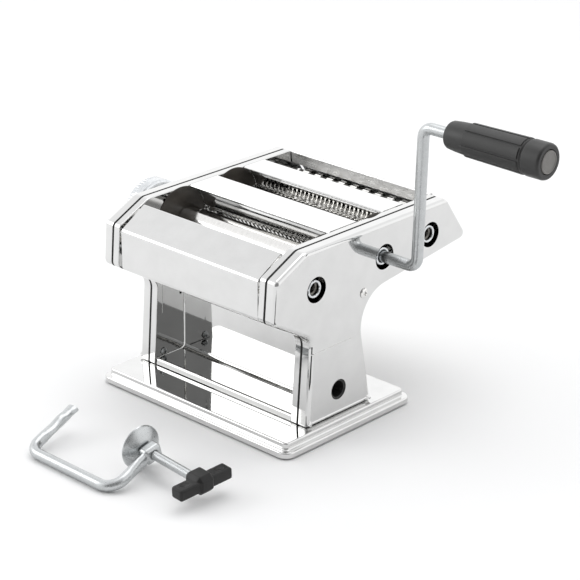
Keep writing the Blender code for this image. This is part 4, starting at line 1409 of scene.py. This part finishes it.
def floor():
    """A plain pale floor, wide enough to meet the room's light."""
    deselect()
    bpy.ops.mesh.primitive_grid_add(x_subdivisions=4, y_subdivisions=4, size=14.0)
    made = bpy.context.active_object
    made.name = "studio_floor"
    paper, tree, shader, place = blank("paper_floor_matt_white", Roughness=0.9)
    shade_of_white = noise(tree, place, 400.0, 1.0)
    tint(tree, shader, shade_of_white, "F6F6F6", "F8F8F8")
    made.data.materials.append(paper)


# It lies between the machine's near corner and the camera, where mostly rounded edges see it.
CARD_SIZE = (0.34, 0.10)
CARD_PLACE = (0.230, -0.2185, 0.0006)
CARD_TURN = math.atan2(CAMERA_PLACE[1], CAMERA_PLACE[0])


def black_card():
    """A studio's black card, unseen itself, which draws dark edges in the polished steel."""
    deselect()
    bpy.ops.mesh.primitive_grid_add(x_subdivisions=2, y_subdivisions=2, size=1.0)
    card = bpy.context.active_object
    card.name = "black_card"
    card.scale = (*CARD_SIZE, 1.0)
    card.rotation_euler.z = CARD_TURN
    card.location = CARD_PLACE
    bpy.ops.object.transform_apply(location=True, rotation=True, scale=True)
    felt, tree, shader, place = blank("card_black_flock", Roughness=0.95)
    nap = noise(tree, place, 1.0, 3.0)
    tint(tree, shader, nap, "161616", "202020")
    card.data.materials.append(felt)
    card.visible_camera = False
    card.visible_diffuse = False
    card.visible_shadow = False


class PASTA_OT_stage(bpy.types.Operator):
    """Sets up the floor, the soft light and the camera"""

    bl_idname = "pasta.stage"
    bl_label = "Stage"

    def execute(self, context):
        floor()
        black_card()
        room()
        for softbox_values in SOFTBOXES:
            softbox(*softbox_values)
        camera = bpy.data.cameras.new("camera")
        camera.lens = CAMERA_LENS
        camera.sensor_width = CAMERA_SENSOR
        camera.clip_start = 0.05
        made = bpy.data.objects.new("camera", camera)
        context.scene.collection.objects.link(made)
        made.location = CAMERA_PLACE
        made.rotation_euler = Euler([math.radians(angle) for angle in CAMERA_TURN])
        context.scene.camera = made
        context.scene.view_settings.view_transform = "Standard"
        return {"FINISHED"}


class PASTA_PT_panel(bpy.types.Panel):
    """Lists the sizes, the finishes and the steps"""

    bl_idname = "PASTA_PT_panel"
    bl_label = "Pasta machine"
    bl_space_type = "VIEW_3D"
    bl_region_type = "UI"
    bl_category = "Pasta"

    def draw(self, context):
        for group in (context.scene.pasta_sizes, context.scene.pasta_finishes):
            for name in group.__annotations__:
                self.layout.prop(group, name)
        for operator in OPERATORS:
            self.layout.operator(operator.bl_idname)


OPERATORS = (
    PASTA_OT_base,
    PASTA_OT_housings,
    PASTA_OT_sheets,
    PASTA_OT_rollers,
    PASTA_OT_crank,
    PASTA_OT_dial,
    PASTA_OT_clamp,
    PASTA_OT_stage,
)
CLASSES = (PastaSizes, PastaFinishes, *OPERATORS, PASTA_PT_panel)


def register():
    for one in CLASSES:
        bpy.utils.register_class(one)
    bpy.types.Scene.pasta_sizes = bpy.props.PointerProperty(type=PastaSizes)
    bpy.types.Scene.pasta_finishes = bpy.props.PointerProperty(type=PastaFinishes)


def unregister():
    del bpy.types.Scene.pasta_finishes
    del bpy.types.Scene.pasta_sizes
    for one in reversed(CLASSES):
        bpy.utils.unregister_class(one)


def main():
    register()
    bpy.ops.pasta.base()
    bpy.ops.pasta.housings()
    bpy.ops.pasta.sheets()
    bpy.ops.pasta.rollers()
    bpy.ops.pasta.crank()
    bpy.ops.pasta.dial()
    bpy.ops.pasta.clamp()
    bpy.ops.pasta.stage()


if __name__ == "__main__":
    main()
